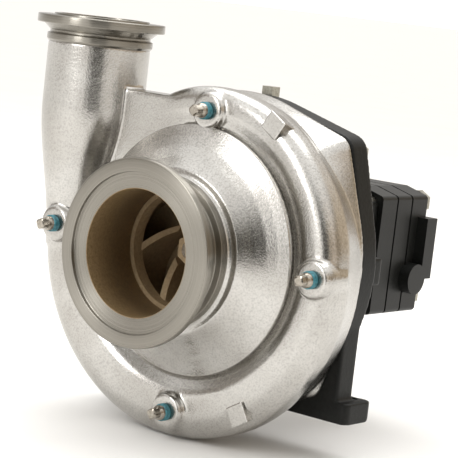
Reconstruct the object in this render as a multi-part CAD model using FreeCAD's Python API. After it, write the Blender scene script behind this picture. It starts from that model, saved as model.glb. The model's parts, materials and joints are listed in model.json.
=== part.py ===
import FreeCAD, Part
import math
import os

# Centrifugal pump with a volute casing, driven by a gear motor flanged to its frame.
# Millimetres. The model is drawn about the shaft line: X to the right seen from the inlet,
# Y from the inlet to the motor with y = 0 on the joint of casing and frame, Z up.
# Clock angles are in degrees, clockwise from the top as seen from the inlet.

# Clearances
running_gap = 0.05        # shaft in bush or bearing, on the radius
slip_gap = 0.02           # pieces of one body that slide together
free_gap = 0.4            # pieces that pass each other without touching
bolt_gap = 0.5            # bolt shank in its hole, on the radius
cut_margin = 1.0          # how far a cutting shape reaches past the face that it opens

# Foot and shaft height
shaft_height = 88.0
foot_depth = 26.5
foot_reach = 7.5
foot_thickness = 12.5
foot_corner_radius = 4.0
foot_hole_radius = 4.3
foot_hole_inset = 11.5
foot_hole_y = 21.2

# Inlet neck and its clamp flange
inlet_face_y = -92.0
inlet_bore_radius = 36.5
inlet_flange_width = 17.5
inlet_rim_thickness = 4.6
inlet_chamfer = 0.8
inlet_recess_width = 9.5
inlet_recess_depth = 1.6
inlet_groove_wall = 4.5
inlet_collar_wall = 8.1
inlet_collar_start = 24.5
inlet_collar_length = 6.0
inlet_neck_wall = 6.5
flange_cone_run = 12.0

# Dome of the casing
dome_root_step = 10.0
dome_root_y = -56.5
dome_rim_width = 6.5
dome_edge_y = -42.6
dome_fillet = 3.8
dome_step = 2.6
dome_edge_chamfer = 0.8

# Scroll: the outer radius grows with the clock angle up to the outlet
scroll_start_angle = -48.0
scroll_end_angle = 270.0
scroll_tail_drop = 10.3
scroll_start_width = 22.5
scroll_growth = 18.0
scroll_full_angle = 230.0
scroll_root_overlap = 2.5
scroll_foot_drop = 2.5
scroll_crest_width = 9.5
scroll_crest_rounding = 9.0
scroll_crown_y = -31.0
scroll_front_start = 8.6
scroll_front_growth = 10.0
scroll_shoulder_start = 8.0
scroll_shoulder_growth = 8.0
scroll_heel_y = -24.0
scroll_heel_radius = 12.0
scroll_lean = 7.0
scroll_base_inset = 5.0
scroll_base_drop = 1.0
scroll_sections = 31
tongue_angle = -20.0
casing_wall = 5.0

# Outlet pipe and its clamp flange
outlet_inset = 20.0
outlet_y = -32.0
outlet_pipe_wall = 5.6
outlet_bore_radius = 25.4
outlet_round_height = 74.0
outlet_start_height = -14.0
outlet_stations = 9
outlet_shoulder = 15.0
outlet_top = 126.0
outlet_flange_width = 13.4
outlet_rim_thickness = 5.2
outlet_groove_wall = 5.2
outlet_collar_wall = 6.8
outlet_collar_length = 3.4
outlet_collar_drop = 11.2
outlet_lip_wall = 3.6
outlet_lip_height = 1.2

# Web between outlet pipe and scroll
web_top = 87.0
web_right_x = -16.0
web_bottom = 38.0
web_front_y = -33.5
web_thickness = 13.0

# Bosses with plugs on the front of the scroll
boss_radius = 10.3
boss_rise = 5.0
boss_flare = 1.5
boss_offsets = [
    (2.0, 8.6, -43.3, 45.0),
    (90.4, 18.0, -46.2, 12.0),
    (178.2, 21.4, -51.0, 35.0),
    (270.4, 22.0, -54.8, 25.0),
]
plug_square = 6.8
plug_corner_radius = 4.4
plug_end_radius = 3.1
plug_head_length = 7.6
plug_thread_radius = 4.6
plug_thread_depth = 8.0
sealant_wall = 0.55
sealant_length = 4.8

# Square casting pads on the shoulder of the scroll
pad_side = 12.5
pad_offsets = [
    (32.3, -1.2, -42.5, -20.0),
    (149.0, 4.7, -46.5, -24.0),
    (270.0, 15.5, -38.0, -25.0),
]

# Shared outline of the casing flange and the frame rim: a circle with four ears
rim_width = 12.5
ear_offset = 1.5
ear_radius = 11.0
ear_angle = 45.0
ear_count = 4
flange_edge = 2.0
flange_flare_length = 23.0
flange_flare_ear_rise = 0.5
flange_flare_lean = 3.5
flange_flare_ear_lean = 14.0
frame_margin = 0.7

# Pump chamber and seal plate
chamber_clearance = 3.0
chamber_lip = 7.0
seal_plate_lip = 13.0
seal_plate_thickness = 7.5
seal_hub_radius = 25.0
seal_hub_length = 12.0
seal_pocket_radius = 17.0
seal_floor = 3.0
seal_floor_bore = 11.0
seal_seat_length = 7.0
seal_cup_wall = 1.8
gasket_width = 4.0
gasket_thickness = 1.5

# Impeller
impeller_radius = 64.0
impeller_eye_inset = 2.5
impeller_eye_wall = 3.2
impeller_eye_y = -51.0
impeller_shroud_y = -46.0
impeller_tip_front_y = -34.5
impeller_back_y = -9.5
impeller_plate = 3.2
impeller_side_gap = 1.5
vane_count = 6
vane_thickness = 3.2
vane_slant = 0.75
vane_overlap = 1.0
vane_root_radius = 20.0
vane_sweep = 105.0
hub_radius = 15.0
hub_front_y = -30.0
hub_chamfer = 3.0
hub_flare = 9.0
hub_flare_length = 5.0
shroud_fillet = 3.0
shroud_round = 2.0
vane_middle = 0.62
vane_middle_sweep = 0.45

# Shaft
nut_thread_radius = 5.0
impeller_seat_radius = 8.0
seal_shaft_radius = 9.5
bearing_seat_radius = 10.0
shaft_collar_radius = 12.4
shaft_collar_length = 4.0
gear_seat_radius = 8.0
key_width = 4.0
key_height = 4.0
impeller_key_length = 14.0
impeller_key_end_y = -12.0
gear_key_length = 8.0
nut_across_flats = 17.0
nut_length = 9.0
nut_washer_radius = 9.5
nut_washer_thickness = 1.6
thread_overrun = 2.0
shaft_chamfer = 0.7
shaft_nose_inset = 0.5
shaft_step_run = 1.0

# Mechanical seal, rotating half
seal_face_outer = 14.0
seal_face_inner = 10.3
seal_face_length = 5.0
bellows_radius = 12.6
spring_outer = 15.0
spring_inner = 13.2
spring_washer = 0.9
spring_turns = 4
spring_link_inset = 0.2
seal_contact_gap = 0.05

# Frame
frame_rim_depth = 16.0
frame_plate_thickness = 8.0
frame_rim_width = 9.0
leg_inset = 5.0
leg_wall = 9.0
leg_top = -20.0
neck_front_radius = 50.0
neck_wall = 12.5
neck_cone_end_y = 46.0
tunnel_radius = 16.0
mounting_pad_length = 12.0
mounting_pad_inset = 3.0
rib_thickness = 7.0
rib_end_y = 44.0
rib_end_height = 4.0
drain_width = 12.0
drain_length = 12.0
drain_start_y = 19.0
lug_width = 9.0
lug_height = 16.0
lug_reach = 29.0
lug_step = 1.0
frame_boss_radius = 9.0
frame_boss_setback = 4.6
frame_boss_drop = 6.5
frame_boss_sink = 10.0
frame_boss_web = 12.0
frame_plug_square = 7.6
frame_plug_height = 11.9

# Bearings in the neck
bearing_front_y = 42.0
bearing_width = 14.0
bearing_spacing = 12.0
bearing_outer_radius = 23.5
bearing_inner_wall = 3.6
bearing_outer_wall = 3.9
bearing_shield = 1.0
snap_ring_thickness = 1.75
snap_ring_width = 3.0

# Slinger on the shaft
slinger_radius = 14.0
slinger_y = 22.0
slinger_length = 6.0
slinger_root_wall = 2.0
slinger_tip_width = 1.6

# Bolts of casing and motor
casing_bolt_radius = 4.0
casing_bolt_head_flats = 13.0
casing_bolt_head_height = 5.3
casing_thread_depth = 9.5
lock_washer_radius = 7.4
lock_washer_thickness = 2.0
motor_bolt_radius = 4.0
motor_bolt_head_flats = 13.0
motor_bolt_head_height = 5.3
motor_bolt_inset_x = 9.0
motor_bolt_inset_z = 9.5
motor_thread_depth = 9.0
motor_washer_radius = 7.4
motor_washer_thickness = 1.4

# Gear motor
motor_front_y = 90.0
front_plate_length = 17.0
gear_length = 11.0
rear_cover_length = 24.0
motor_right_x = 45.0
motor_left_x = -60.0
motor_top = 41.0
motor_bottom = -38.5
shoulder_drop = 4.6
shoulder_run = 17.0
motor_corner_radius = 3.0
groove_width = 1.6
groove_depth = 1.2
rear_groove_y = 124.0
keyhole_reach = 7.5
keyhole_radius = 9.8
keyhole_y = 128.0
keyhole_z = -16.0
keyhole_bar_top = 23.0
keyhole_bar_depth = 9.0
keyhole_bar_overhang = 2.5
keyhole_root = 2.0

# Gear pair
gear_teeth = 12
gear_module = 2.5
pressure_angle = 20.0
addendum_factor = 0.8
dedendum_factor = 1.15
gear_backlash = 0.35
gear_tip_gap = 0.3
gear_side_gap = 0.1
bush_radius = 11.5
bush_length = 11.0
motor_seal_radius = 15.0
motor_seal_length = 4.6
seal_track_offset = 2.6
seal_track_width = 2.0
seal_track_depth = 1.4
dowel_radius = 3.0
dowel_reach = 7.0
dowel_inset = 9.0
dowel_z = 17.0

# Ports and bypass on the back of the motor
port_radius = 9.0
port_depth = 15.0
port_z = 21.0
port_passage_radius = 4.0
port_passage_z = 15.0
bypass_inset = 12.0
bypass_radius = 3.5
bypass_depth = 14.0
bypass_reach = 10.0
bypass_slot_width = 1.2
bypass_slot_depth = 1.8
bypass_nut_flats = 13.0
bypass_nut_height = 5.0

# Sizes and places that follow from the values above
inlet_flange_radius = inlet_bore_radius + inlet_flange_width
inlet_recess_radius = inlet_bore_radius + inlet_recess_width
inlet_groove_radius = inlet_bore_radius + inlet_groove_wall
inlet_collar_radius = inlet_bore_radius + inlet_collar_wall
inlet_neck_radius = inlet_bore_radius + inlet_neck_wall
impeller_eye_radius = inlet_bore_radius - impeller_eye_inset
chamber_radius = impeller_radius + chamber_clearance
seal_plate_radius = chamber_radius + seal_plate_lip
dome_root_radius = inlet_neck_radius + dome_root_step
dome_edge_radius = chamber_radius + dome_rim_width
scroll_start_radius = dome_edge_radius + scroll_start_width
scroll_end_radius = scroll_start_radius + scroll_growth
scroll_root_radius = dome_edge_radius - scroll_root_overlap
scroll_crest_radius = dome_edge_radius + scroll_crest_width
rim_radius = seal_plate_radius + rim_width
ear_centre_radius = rim_radius + ear_offset
flange_flare_radius = rim_radius - flange_flare_lean
flange_flare_ear_centre = ear_centre_radius - flange_flare_ear_lean
outlet_x = outlet_inset - scroll_end_radius
outlet_pipe_radius = outlet_bore_radius + outlet_pipe_wall
outlet_flange_radius = outlet_bore_radius + outlet_flange_width
outlet_groove_radius = outlet_bore_radius + outlet_groove_wall
outlet_collar_radius = outlet_bore_radius + outlet_collar_wall
outlet_lip_radius = outlet_bore_radius + outlet_lip_wall
boss_places = [
    (angle, dome_edge_radius + out, face_y, plug_turn)
    for angle, out, face_y, plug_turn in boss_offsets
]
pad_places = [
    (angle, scroll_start_radius + out, face_y, back_y)
    for angle, out, face_y, back_y in pad_offsets
]
leg_half_width = rim_radius - leg_inset
foot_half_width = leg_half_width + foot_reach
foot_hole_x = foot_half_width - foot_hole_inset
lug_outer_x = leg_half_width + lug_step
neck_radius = bearing_outer_radius + neck_wall
bearing_race_gap_inner = bearing_seat_radius + bearing_inner_wall
bearing_race_gap_outer = bearing_outer_radius - bearing_outer_wall
frame_boss_y = frame_rim_depth + frame_boss_setback
frame_boss_top = rim_radius - frame_boss_drop
frame_boss_root = neck_front_radius - frame_boss_sink
dome_band_y = dome_edge_y + dome_step
dome_back_y = dome_band_y + casing_wall
scroll_foot_y = dome_band_y + scroll_foot_drop
gasket_y = -seal_plate_thickness - gasket_thickness
pitch_radius = gear_module * gear_teeth / 2.0
gear_tip_radius = pitch_radius + addendum_factor * gear_module
idler_x = -2.0 * pitch_radius
motor_pad_y = motor_front_y - mounting_pad_length
gear_front_y = motor_front_y + front_plate_length
gear_back_y = gear_front_y + gear_length
motor_back_y = gear_back_y + rear_cover_length
bearing_back_y = bearing_front_y + 2.0 * bearing_width + bearing_spacing
shaft_end_y = gear_back_y + bush_length
shaft_start_y = hub_front_y - nut_washer_thickness - nut_length - thread_overrun
motor_bolt_places = [
    (x, z)
    for x in (motor_left_x + motor_bolt_inset_x, motor_right_x - motor_bolt_inset_x)
    for z in (motor_bottom + motor_bolt_inset_z, motor_top - motor_bolt_inset_z)
]


def vec(x, y, z):
    return FreeCAD.Vector(x, y, z)


Y_AXIS = vec(0, 1, 0)
Z_AXIS = vec(0, 0, 1)
CENTRE = vec(0, 0, 0)


def clock(angle, radius, y=0.0):
    """Point at a clock angle and radius about the shaft line."""
    turn = math.radians(angle)
    return vec(radius * math.sin(turn), y, radius * math.cos(turn))


def bar(x, z, radius, y0, y1):
    """Round bar parallel to the shaft."""
    return Part.makeCylinder(radius, y1 - y0, vec(x, y0, z), Y_AXIS)


def tube(x, z, outer, inner, y0, y1):
    """Round tube parallel to the shaft."""
    return bar(x, z, outer, y0, y1).cut(bar(x, z, inner, y0, y1))


def block(x0, x1, y0, y1, z0, z1):
    return Part.makeBox(x1 - x0, y1 - y0, z1 - z0, vec(x0, y0, z0))


def corner_stops(corners):
    """Start, top and end of the rounding at each (u, v, radius) corner."""
    count = len(corners)
    stops = []
    for i, (u, v, radius) in enumerate(corners):
        here = vec(u, v, 0)
        if radius <= 0:
            stops.append((here, None, here))
            continue
        back = vec(*corners[i - 1][:2], 0).sub(here).normalize()
        ahead = vec(*corners[(i + 1) % count][:2], 0).sub(here).normalize()
        half = back.getAngle(ahead) / 2.0
        run = radius / math.tan(half)
        middle = (back + ahead).normalize()
        top = here + middle * (radius / math.sin(half) - radius)
        stops.append((here + back * run, top, here + ahead * run))
    return stops


def rounded_wire(corners, place):
    """Closed wire through (u, v, radius) corners, each rounded by an arc."""
    stops = corner_stops(corners)
    edges = []
    for i, (start, top, end) in enumerate(stops):
        if top is not None:
            edges.append(Part.Arc(place(start), place(top), place(end)).toShape())
        following = stops[(i + 1) % len(stops)][0]
        if end.distanceToPoint(following) > 1e-6:
            edges.append(Part.LineSegment(place(end), place(following)).toShape())
    return Part.Wire(edges)


def bevelled_wire(corners, place):
    """The same outline with each rounding as two flats through its top."""
    points = []
    for start, top, end in corner_stops(corners):
        points.append(place(start))
        if top is not None:
            points.extend([place(top), place(end)])
    return Part.makePolygon(points + points[:1])


def turned(corners):
    """Solid of revolution about the shaft from (radius, y, rounding) corners."""
    wire = bevelled_wire(corners, lambda p: vec(p.x, p.y, 0))
    return Part.Face(wire).revolve(CENTRE, Y_AXIS, 360)


def plate(corners, y0, y1):
    """Flat piece parallel to the casing joint from (x, z, rounding) corners."""
    wire = rounded_wire(corners, lambda p: vec(p.x, y0, p.y))
    return Part.Face(wire).extrude(vec(0, y1 - y0, 0))


def hexagon(x, z, flats, y0, y1):
    """Six-sided bar parallel to the shaft."""
    corner = flats / 2.0 / math.cos(math.radians(30))
    corners = []
    for i in range(6):
        turn = math.radians(60 * i + 30)
        corners.append((x + corner * math.cos(turn), z + corner * math.sin(turn), 0))
    return plate(corners, y0, y1)


def joined(shapes):
    """One clean solid from overlapping shapes."""
    return shapes[0].fuse(shapes[1:]).removeSplitter()


def group(solids):
    """Separate solids that share one node."""
    return Part.makeCompound(solids)


# Casing


def scroll_radius(angle):
    """Outer radius: a tail before the top, then half a cosine wave up to its full size."""
    if angle < 0:
        return scroll_start_radius - scroll_tail_drop * (angle / scroll_start_angle) ** 2
    swell = (1.0 - math.cos(math.pi * min(1.0, angle / scroll_full_angle))) / 2.0
    return scroll_start_radius + scroll_growth * swell


def scroll_section(angle, wall):
    """Section of the scroll at a clock angle, inset by the wall."""
    share = angle / scroll_end_angle
    outer = scroll_radius(angle) - wall
    front = scroll_crown_y - scroll_front_start - scroll_front_growth * share + wall
    shoulder = scroll_shoulder_start + scroll_shoulder_growth * share - wall / 2.0
    root = scroll_root_radius - wall
    back = gasket_y - casing_wall / 2.0 if wall else -flange_edge
    turn = math.radians(angle)
    return rounded_wire([
        (root, scroll_foot_y + wall, 0),
        (scroll_crest_radius, front, scroll_crest_rounding),
        (outer, front, shoulder),
        (outer, scroll_heel_y, scroll_heel_radius),
        (outer - scroll_lean, back, 0),
        (root, back, 0),
    ], lambda p: vec(p.x * math.sin(turn), p.y, p.x * math.cos(turn)))


def scroll_body(start_angle, wall):
    span = scroll_end_angle - start_angle
    wires = []
    for i in range(scroll_sections):
        angle = start_angle + span * i / (scroll_sections - 1)
        wires.append(scroll_section(angle, wall))
    return Part.makeLoft(wires, True, True)


def outlet_section(share, z, wall):
    """Section of the discharge: rounded square low down, round at the top."""
    front = scroll_crown_y - scroll_front_start - scroll_front_growth
    low = (-scroll_end_radius, -scroll_crest_radius, front, -flange_edge, outlet_shoulder)
    radius = outlet_pipe_radius
    high = (outlet_x - radius, outlet_x + radius, outlet_y - radius, outlet_y + radius, radius)
    x0, x1, y0, y1, corner = (a + (b - a) * share for a, b in zip(low, high))
    corner = min(corner - wall, (x1 - x0) / 2.0 - wall - slip_gap)
    return rounded_wire([
        (x0 + wall, y0 + wall, corner),
        (x1 - wall, y0 + wall, corner),
        (x1 - wall, y1 - wall, corner),
        (x0 + wall, y1 - wall, corner),
    ], lambda p: vec(p.x, p.y, z))


def outlet_body(wall):
    """Discharge from the end of the scroll up to the round pipe."""
    wires = []
    for i in range(outlet_stations):
        step = i / (outlet_stations - 1)
        share = step * step * (3.0 - 2.0 * step)
        z = outlet_start_height + (outlet_round_height - outlet_start_height) * step
        wires.append(outlet_section(share, z, wall))
    return Part.makeLoft(wires, True, True)


def ear_outline(circle, ear_centre, ear, y):
    """Circle with four ears at 45 degrees, joined by straight tangents."""
    lean = math.degrees(math.acos((circle - ear) / ear_centre))
    edges = []
    for i in range(ear_count):
        middle = ear_angle + 360.0 * i / ear_count
        seat = clock(middle, ear_centre, y)
        enter = clock(middle - lean, circle, y)
        ear_start = seat.add(clock(middle - lean, ear))
        ear_top = seat.add(clock(middle, ear))
        ear_end = seat.add(clock(middle + lean, ear))
        leave = clock(middle + lean, circle, y)
        following = clock(middle + 360.0 / ear_count - lean, circle, y)
        bulge = clock(middle + 180.0 / ear_count, circle, y)
        edges.append(Part.LineSegment(enter, ear_start).toShape())
        edges.append(Part.Arc(ear_start, ear_top, ear_end).toShape())
        edges.append(Part.LineSegment(ear_end, leave).toShape())
        edges.append(Part.Arc(leave, bulge, following).toShape())
    return Part.Wire(edges)


def eared_plate(margin, y0, y1):
    outline = ear_outline(rim_radius + margin, ear_centre_radius, ear_radius + margin, y0)
    return Part.Face(outline).extrude(vec(0, y1 - y0, 0))


def casing_flange():
    """Rear flange with its flare up to the ears."""
    small = ear_outline(flange_flare_radius, flange_flare_ear_centre,
                        flange_flare_radius - flange_flare_ear_centre + flange_flare_ear_rise,
                        -flange_edge - flange_flare_length)
    large = ear_outline(rim_radius, ear_centre_radius, ear_radius, -flange_edge)
    flare = Part.makeLoft([small, large], True, True)
    return [eared_plate(0.0, -flange_edge, 0.0), flare]


def inlet_dome():
    """Turned front of the casing: clamp flange, neck and dome about the inlet bore."""
    rim_back = inlet_face_y + inlet_rim_thickness
    collar_front = inlet_face_y + inlet_collar_start
    collar_back = collar_front + inlet_collar_length
    eye = impeller_eye_radius + impeller_eye_wall + free_gap
    eye_front = impeller_eye_y - free_gap
    chamber_front = impeller_tip_front_y - 2.0 * impeller_side_gap
    return turned([
        (inlet_bore_radius, inlet_face_y + inlet_recess_depth, 0),
        (inlet_recess_radius, inlet_face_y + inlet_recess_depth, 0),
        (inlet_recess_radius, inlet_face_y, 0),
        (inlet_flange_radius - inlet_chamfer, inlet_face_y, 0),
        (inlet_flange_radius, inlet_face_y + inlet_chamfer, 0),
        (inlet_flange_radius, rim_back, 0),
        (inlet_groove_radius, inlet_face_y + flange_cone_run, 0),
        (inlet_groove_radius, collar_front - inlet_chamfer, 0),
        (inlet_collar_radius, collar_front, 0),
        (inlet_collar_radius, collar_back, 0),
        (inlet_neck_radius, collar_back + inlet_chamfer, 0),
        (inlet_neck_radius, dome_root_y - inlet_chamfer, dome_fillet),
        (dome_root_radius, dome_root_y, 0),
        (dome_edge_radius - dome_edge_chamfer, dome_edge_y - dome_edge_chamfer / 2.0, 0),
        (dome_edge_radius, dome_edge_y + dome_edge_chamfer, 0),
        (dome_edge_radius, dome_back_y, 0),
        (chamber_radius, dome_back_y, 0),
        (chamber_radius, chamber_front, 0),
        (eye, impeller_shroud_y - impeller_side_gap, 0),
        (eye, eye_front, 0),
        (inlet_bore_radius, eye_front, 0),
    ])


def scroll_base():
    """Turned ring behind the step, as high as the smallest part of the scroll."""
    outer = scroll_start_radius - scroll_base_inset
    front = scroll_crown_y - scroll_front_start + scroll_base_drop
    inner = dome_edge_radius - casing_wall
    return turned([
        (inner, front, 0),
        (outer, front, scroll_shoulder_start),
        (outer, scroll_heel_y, 0),
        (outer - scroll_lean, -flange_edge, 0),
        (inner, -flange_edge, 0),
    ])


def outlet_pipe():
    """Straight round end of the discharge with its turned clamp flange."""
    rim_base = outlet_top - outlet_rim_thickness
    collar_top = outlet_top - outlet_collar_drop
    collar_base = collar_top - outlet_collar_length
    lip_top = outlet_top + outlet_lip_height
    profile = [
        (outlet_bore_radius, outlet_round_height, 0),
        (outlet_pipe_radius, outlet_round_height, 0),
        (outlet_pipe_radius, collar_base - inlet_chamfer, 0),
        (outlet_collar_radius, collar_base, 0),
        (outlet_collar_radius, collar_top, 0),
        (outlet_groove_radius, collar_top + inlet_chamfer, 0),
        (outlet_groove_radius, collar_top + 2.0 * inlet_chamfer, 0),
        (outlet_flange_radius - outlet_rim_thickness, rim_base, 0),
        (outlet_flange_radius, rim_base, 0),
        (outlet_flange_radius, outlet_top - inlet_chamfer / 2.0, 0),
        (outlet_flange_radius - inlet_chamfer / 2.0, outlet_top, 0),
        (outlet_lip_radius, outlet_top, 0),
        (outlet_lip_radius, lip_top, 0),
        (outlet_bore_radius, lip_top, 0),
    ]
    wire = bevelled_wire(profile, lambda p: vec(outlet_x + p.x, outlet_y, p.y))
    return Part.Face(wire).revolve(vec(outlet_x, outlet_y, 0), Z_AXIS, 360)


def casing_web():
    """Flat web between the outlet pipe and the top of the scroll."""
    left = outlet_x + outlet_pipe_radius - casing_wall
    return block(left, web_right_x, web_front_y, web_front_y + web_thickness,
                 web_bottom, web_top)


def plug_bosses():
    """Flared round bosses that stand on the crest of the scroll."""
    bosses = []
    base_radius = boss_radius + boss_flare
    for angle, radius, face_y, _ in boss_places:
        seat = clock(angle, radius)
        rise = Part.makeCone(boss_radius, base_radius, boss_rise, seat.add(vec(0, face_y, 0)), Y_AXIS)
        root = bar(seat.x, seat.z, base_radius, face_y + boss_rise, scroll_crown_y + casing_wall)
        bosses += [rise, root]
    return bosses


def plug_holes():
    holes = []
    for angle, radius, face_y, _ in boss_places:
        seat = clock(angle, radius)
        holes.append(bar(seat.x, seat.z, plug_thread_radius, face_y, face_y + plug_thread_depth))
    return holes


def casting_pads():
    pads = []
    half = pad_side / 2.0
    for angle, radius, face_y, back_y in pad_places:
        pad = block(-half, half, face_y, back_y, radius - half, radius + half)
        pad.rotate(CENTRE, Y_AXIS, angle)
        pads.append(pad)
    return pads


def casing_hollow():
    """Room in the casting for the dome, the impeller, the seal plate and the water."""
    lip_radius = chamber_radius + chamber_lip
    front = inlet_face_y
    chamber = turned([
        (0, front, 0),
        (dome_edge_radius, front, 0),
        (dome_edge_radius, dome_back_y, 0),
        (lip_radius, dome_back_y, 0),
        (lip_radius, gasket_y, 0),
        (seal_plate_radius + slip_gap, gasket_y, 0),
        (seal_plate_radius + slip_gap, cut_margin, 0),
        (0, cut_margin, 0),
    ])
    return [chamber, scroll_body(tongue_angle, casing_wall), outlet_body(outlet_pipe_wall)]


def ear_centres():
    return [clock(ear_angle + 360.0 * i / ear_count, ear_centre_radius) for i in range(ear_count)]


def casing_bolt_bars(radius, y0, y1):
    return [bar(seat.x, seat.z, radius, y0, y1) for seat in ear_centres()]


def volute_casing():
    above_joint = Part.makeCylinder(outlet_pipe_radius, outlet_top,
                                    vec(outlet_x, outlet_y, outlet_round_height), Z_AXIS)
    body = joined([scroll_base(), scroll_body(scroll_start_angle, 0.0), outlet_body(0.0),
                   casing_web().cut(above_joint)]
                  + casing_flange() + plug_bosses() + casting_pads())
    cuts = casing_hollow() + plug_holes()
    cuts += casing_bolt_bars(casing_bolt_radius + slip_gap, -casing_thread_depth, cut_margin)
    return body.cut(cuts)


def pipe_plug(seat, face_y, plug_turn):
    """Square-head plug with rounded corners and a chamfered end, screwed in at a boss face."""
    thread_start = face_y - sealant_length
    head_start = thread_start - plug_head_length
    half = plug_square / 2.0
    head = block(-half, half, head_start, thread_start, -half, half)
    chamfer = plug_corner_radius - plug_end_radius
    envelope = turned([
        (0, head_start, 0),
        (plug_end_radius, head_start, 0),
        (plug_corner_radius, head_start + chamfer, 0),
        (plug_corner_radius, thread_start, 0),
        (0, thread_start, 0),
    ])
    head = head.common(envelope)
    thread = bar(0, 0, plug_thread_radius - slip_gap, thread_start, face_y + plug_thread_depth)
    plug = head.fuse(thread)
    plug.rotate(CENTRE, Y_AXIS, plug_turn)
    plug.translate(seat)
    return plug


def casing_plugs():
    return group([
        pipe_plug(clock(angle, radius), face_y, plug_turn)
        for angle, radius, face_y, plug_turn in boss_places
    ])


def casing_plug_seals():
    rings = []
    for angle, radius, face_y, _ in boss_places:
        seat = clock(angle, radius)
        rings.append(tube(seat.x, seat.z, plug_thread_radius + sealant_wall, plug_thread_radius,
                          face_y - sealant_length, face_y))
    return group(rings)


def casing_gasket():
    outer = seal_plate_radius
    return tube(0, 0, outer, outer - gasket_width, gasket_y, -seal_plate_thickness)


# Seal plate and mechanical seal


def seal_plate():
    return turned([
        (seal_floor_bore, seal_hub_length - seal_floor, 0),
        (seal_pocket_radius, seal_hub_length - seal_floor, 0),
        (seal_pocket_radius, -seal_plate_thickness, 0),
        (seal_plate_radius, -seal_plate_thickness, 0),
        (seal_plate_radius, 0, 0),
        (seal_hub_radius, 0, 0),
        (seal_hub_radius, seal_hub_length, 0),
        (seal_floor_bore, seal_hub_length, 0),
    ])


def seal_seat_cup():
    back = seal_hub_length - seal_floor
    inner = seal_pocket_radius - seal_cup_wall
    return turned([
        (seal_floor_bore, back, 0),
        (seal_floor_bore, back - seal_cup_wall, 0),
        (inner, back - seal_cup_wall, 0),
        (inner, back - seal_seat_length, 0),
        (seal_pocket_radius - slip_gap, back - seal_seat_length, 0),
        (seal_pocket_radius - slip_gap, back, 0),
    ])


def seal_seat():
    back = seal_hub_length - seal_floor - seal_cup_wall
    front = seal_hub_length - seal_floor - seal_seat_length
    outer = seal_pocket_radius - seal_cup_wall - slip_gap
    return tube(0, 0, outer, seal_floor_bore, front, back)


def seal_face():
    back = seal_hub_length - seal_floor - seal_seat_length - seal_contact_gap
    return tube(0, 0, seal_face_outer, seal_face_inner, back - seal_face_length, back)


def bellows_span():
    face_front = (seal_hub_length - seal_floor - seal_seat_length - seal_contact_gap
                  - seal_face_length)
    return impeller_back_y, face_front


def seal_bellows():
    front, back = bellows_span()
    inner = seal_shaft_radius + slip_gap
    return turned([
        (inner, front, 0),
        (bellows_radius, front, 0),
        (bellows_radius, back, 0),
        (seal_face_inner - slip_gap, back, 0),
        (seal_face_inner - slip_gap, back + seal_face_length / 2.0, 0),
        (inner, back + seal_face_length / 2.0, 0),
    ])


def seal_spring():
    """Stacked wave spring between the impeller hub and the seal face."""
    front, back = bellows_span()
    pitch = (back - front - spring_washer) / (spring_turns - 1)
    turns = []
    for i in range(spring_turns):
        start = front + pitch * i
        turns.append(tube(0, 0, spring_outer, spring_inner, start, start + spring_washer))
    for i in range(spring_turns - 1):
        link = block(-spring_washer, spring_washer, front + pitch * i,
                     front + pitch * (i + 1) + spring_washer, spring_inner + spring_link_inset,
                     spring_outer - spring_link_inset)
        link.rotate(CENTRE, Y_AXIS, 180.0 * i)
        turns.append(link)
    return joined(turns)


# Impeller and shaft


def key_block(seat_radius, length, end_y, gap):
    """Parallel key on top of a shaft seat, grown by a gap for its keyway."""
    half = key_width / 2.0 + gap
    low = seat_radius - key_height / 2.0 - gap
    return block(-half, half, end_y - length - gap, end_y + gap, low, low + key_height + 2 * gap)


def impeller_key():
    return key_block(impeller_seat_radius, impeller_key_length, impeller_key_end_y, 0.0)


def gear_key_end():
    return gear_back_y - (gear_length - gear_key_length) / 2.0


def drive_gear_key():
    return key_block(gear_seat_radius, gear_key_length, gear_key_end(), 0.0)


def vane(turn):
    """Backward-curved vane, cut to the space between the two shrouds later."""
    stations = (
        (vane_root_radius, 0.0),
        (impeller_radius * vane_middle, vane_middle_sweep),
        (impeller_radius, 1.0),
    )
    sides = []
    for side in (1, -1):
        points = []
        for radius, share in stations:
            spread = math.degrees(vane_thickness * vane_slant / radius)
            points.append(clock(turn - vane_sweep * share + side * spread, radius,
                                impeller_shroud_y))
        sides.append(points)
    ahead, behind = sides
    wire = Part.Wire([
        Part.Arc(*ahead).toShape(),
        Part.LineSegment(ahead[2], behind[2]).toShape(),
        Part.Arc(*reversed(behind)).toShape(),
        Part.LineSegment(behind[0], ahead[0]).toShape(),
    ])
    return Part.Face(wire).extrude(vec(0, impeller_back_y - impeller_shroud_y, 0))


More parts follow.
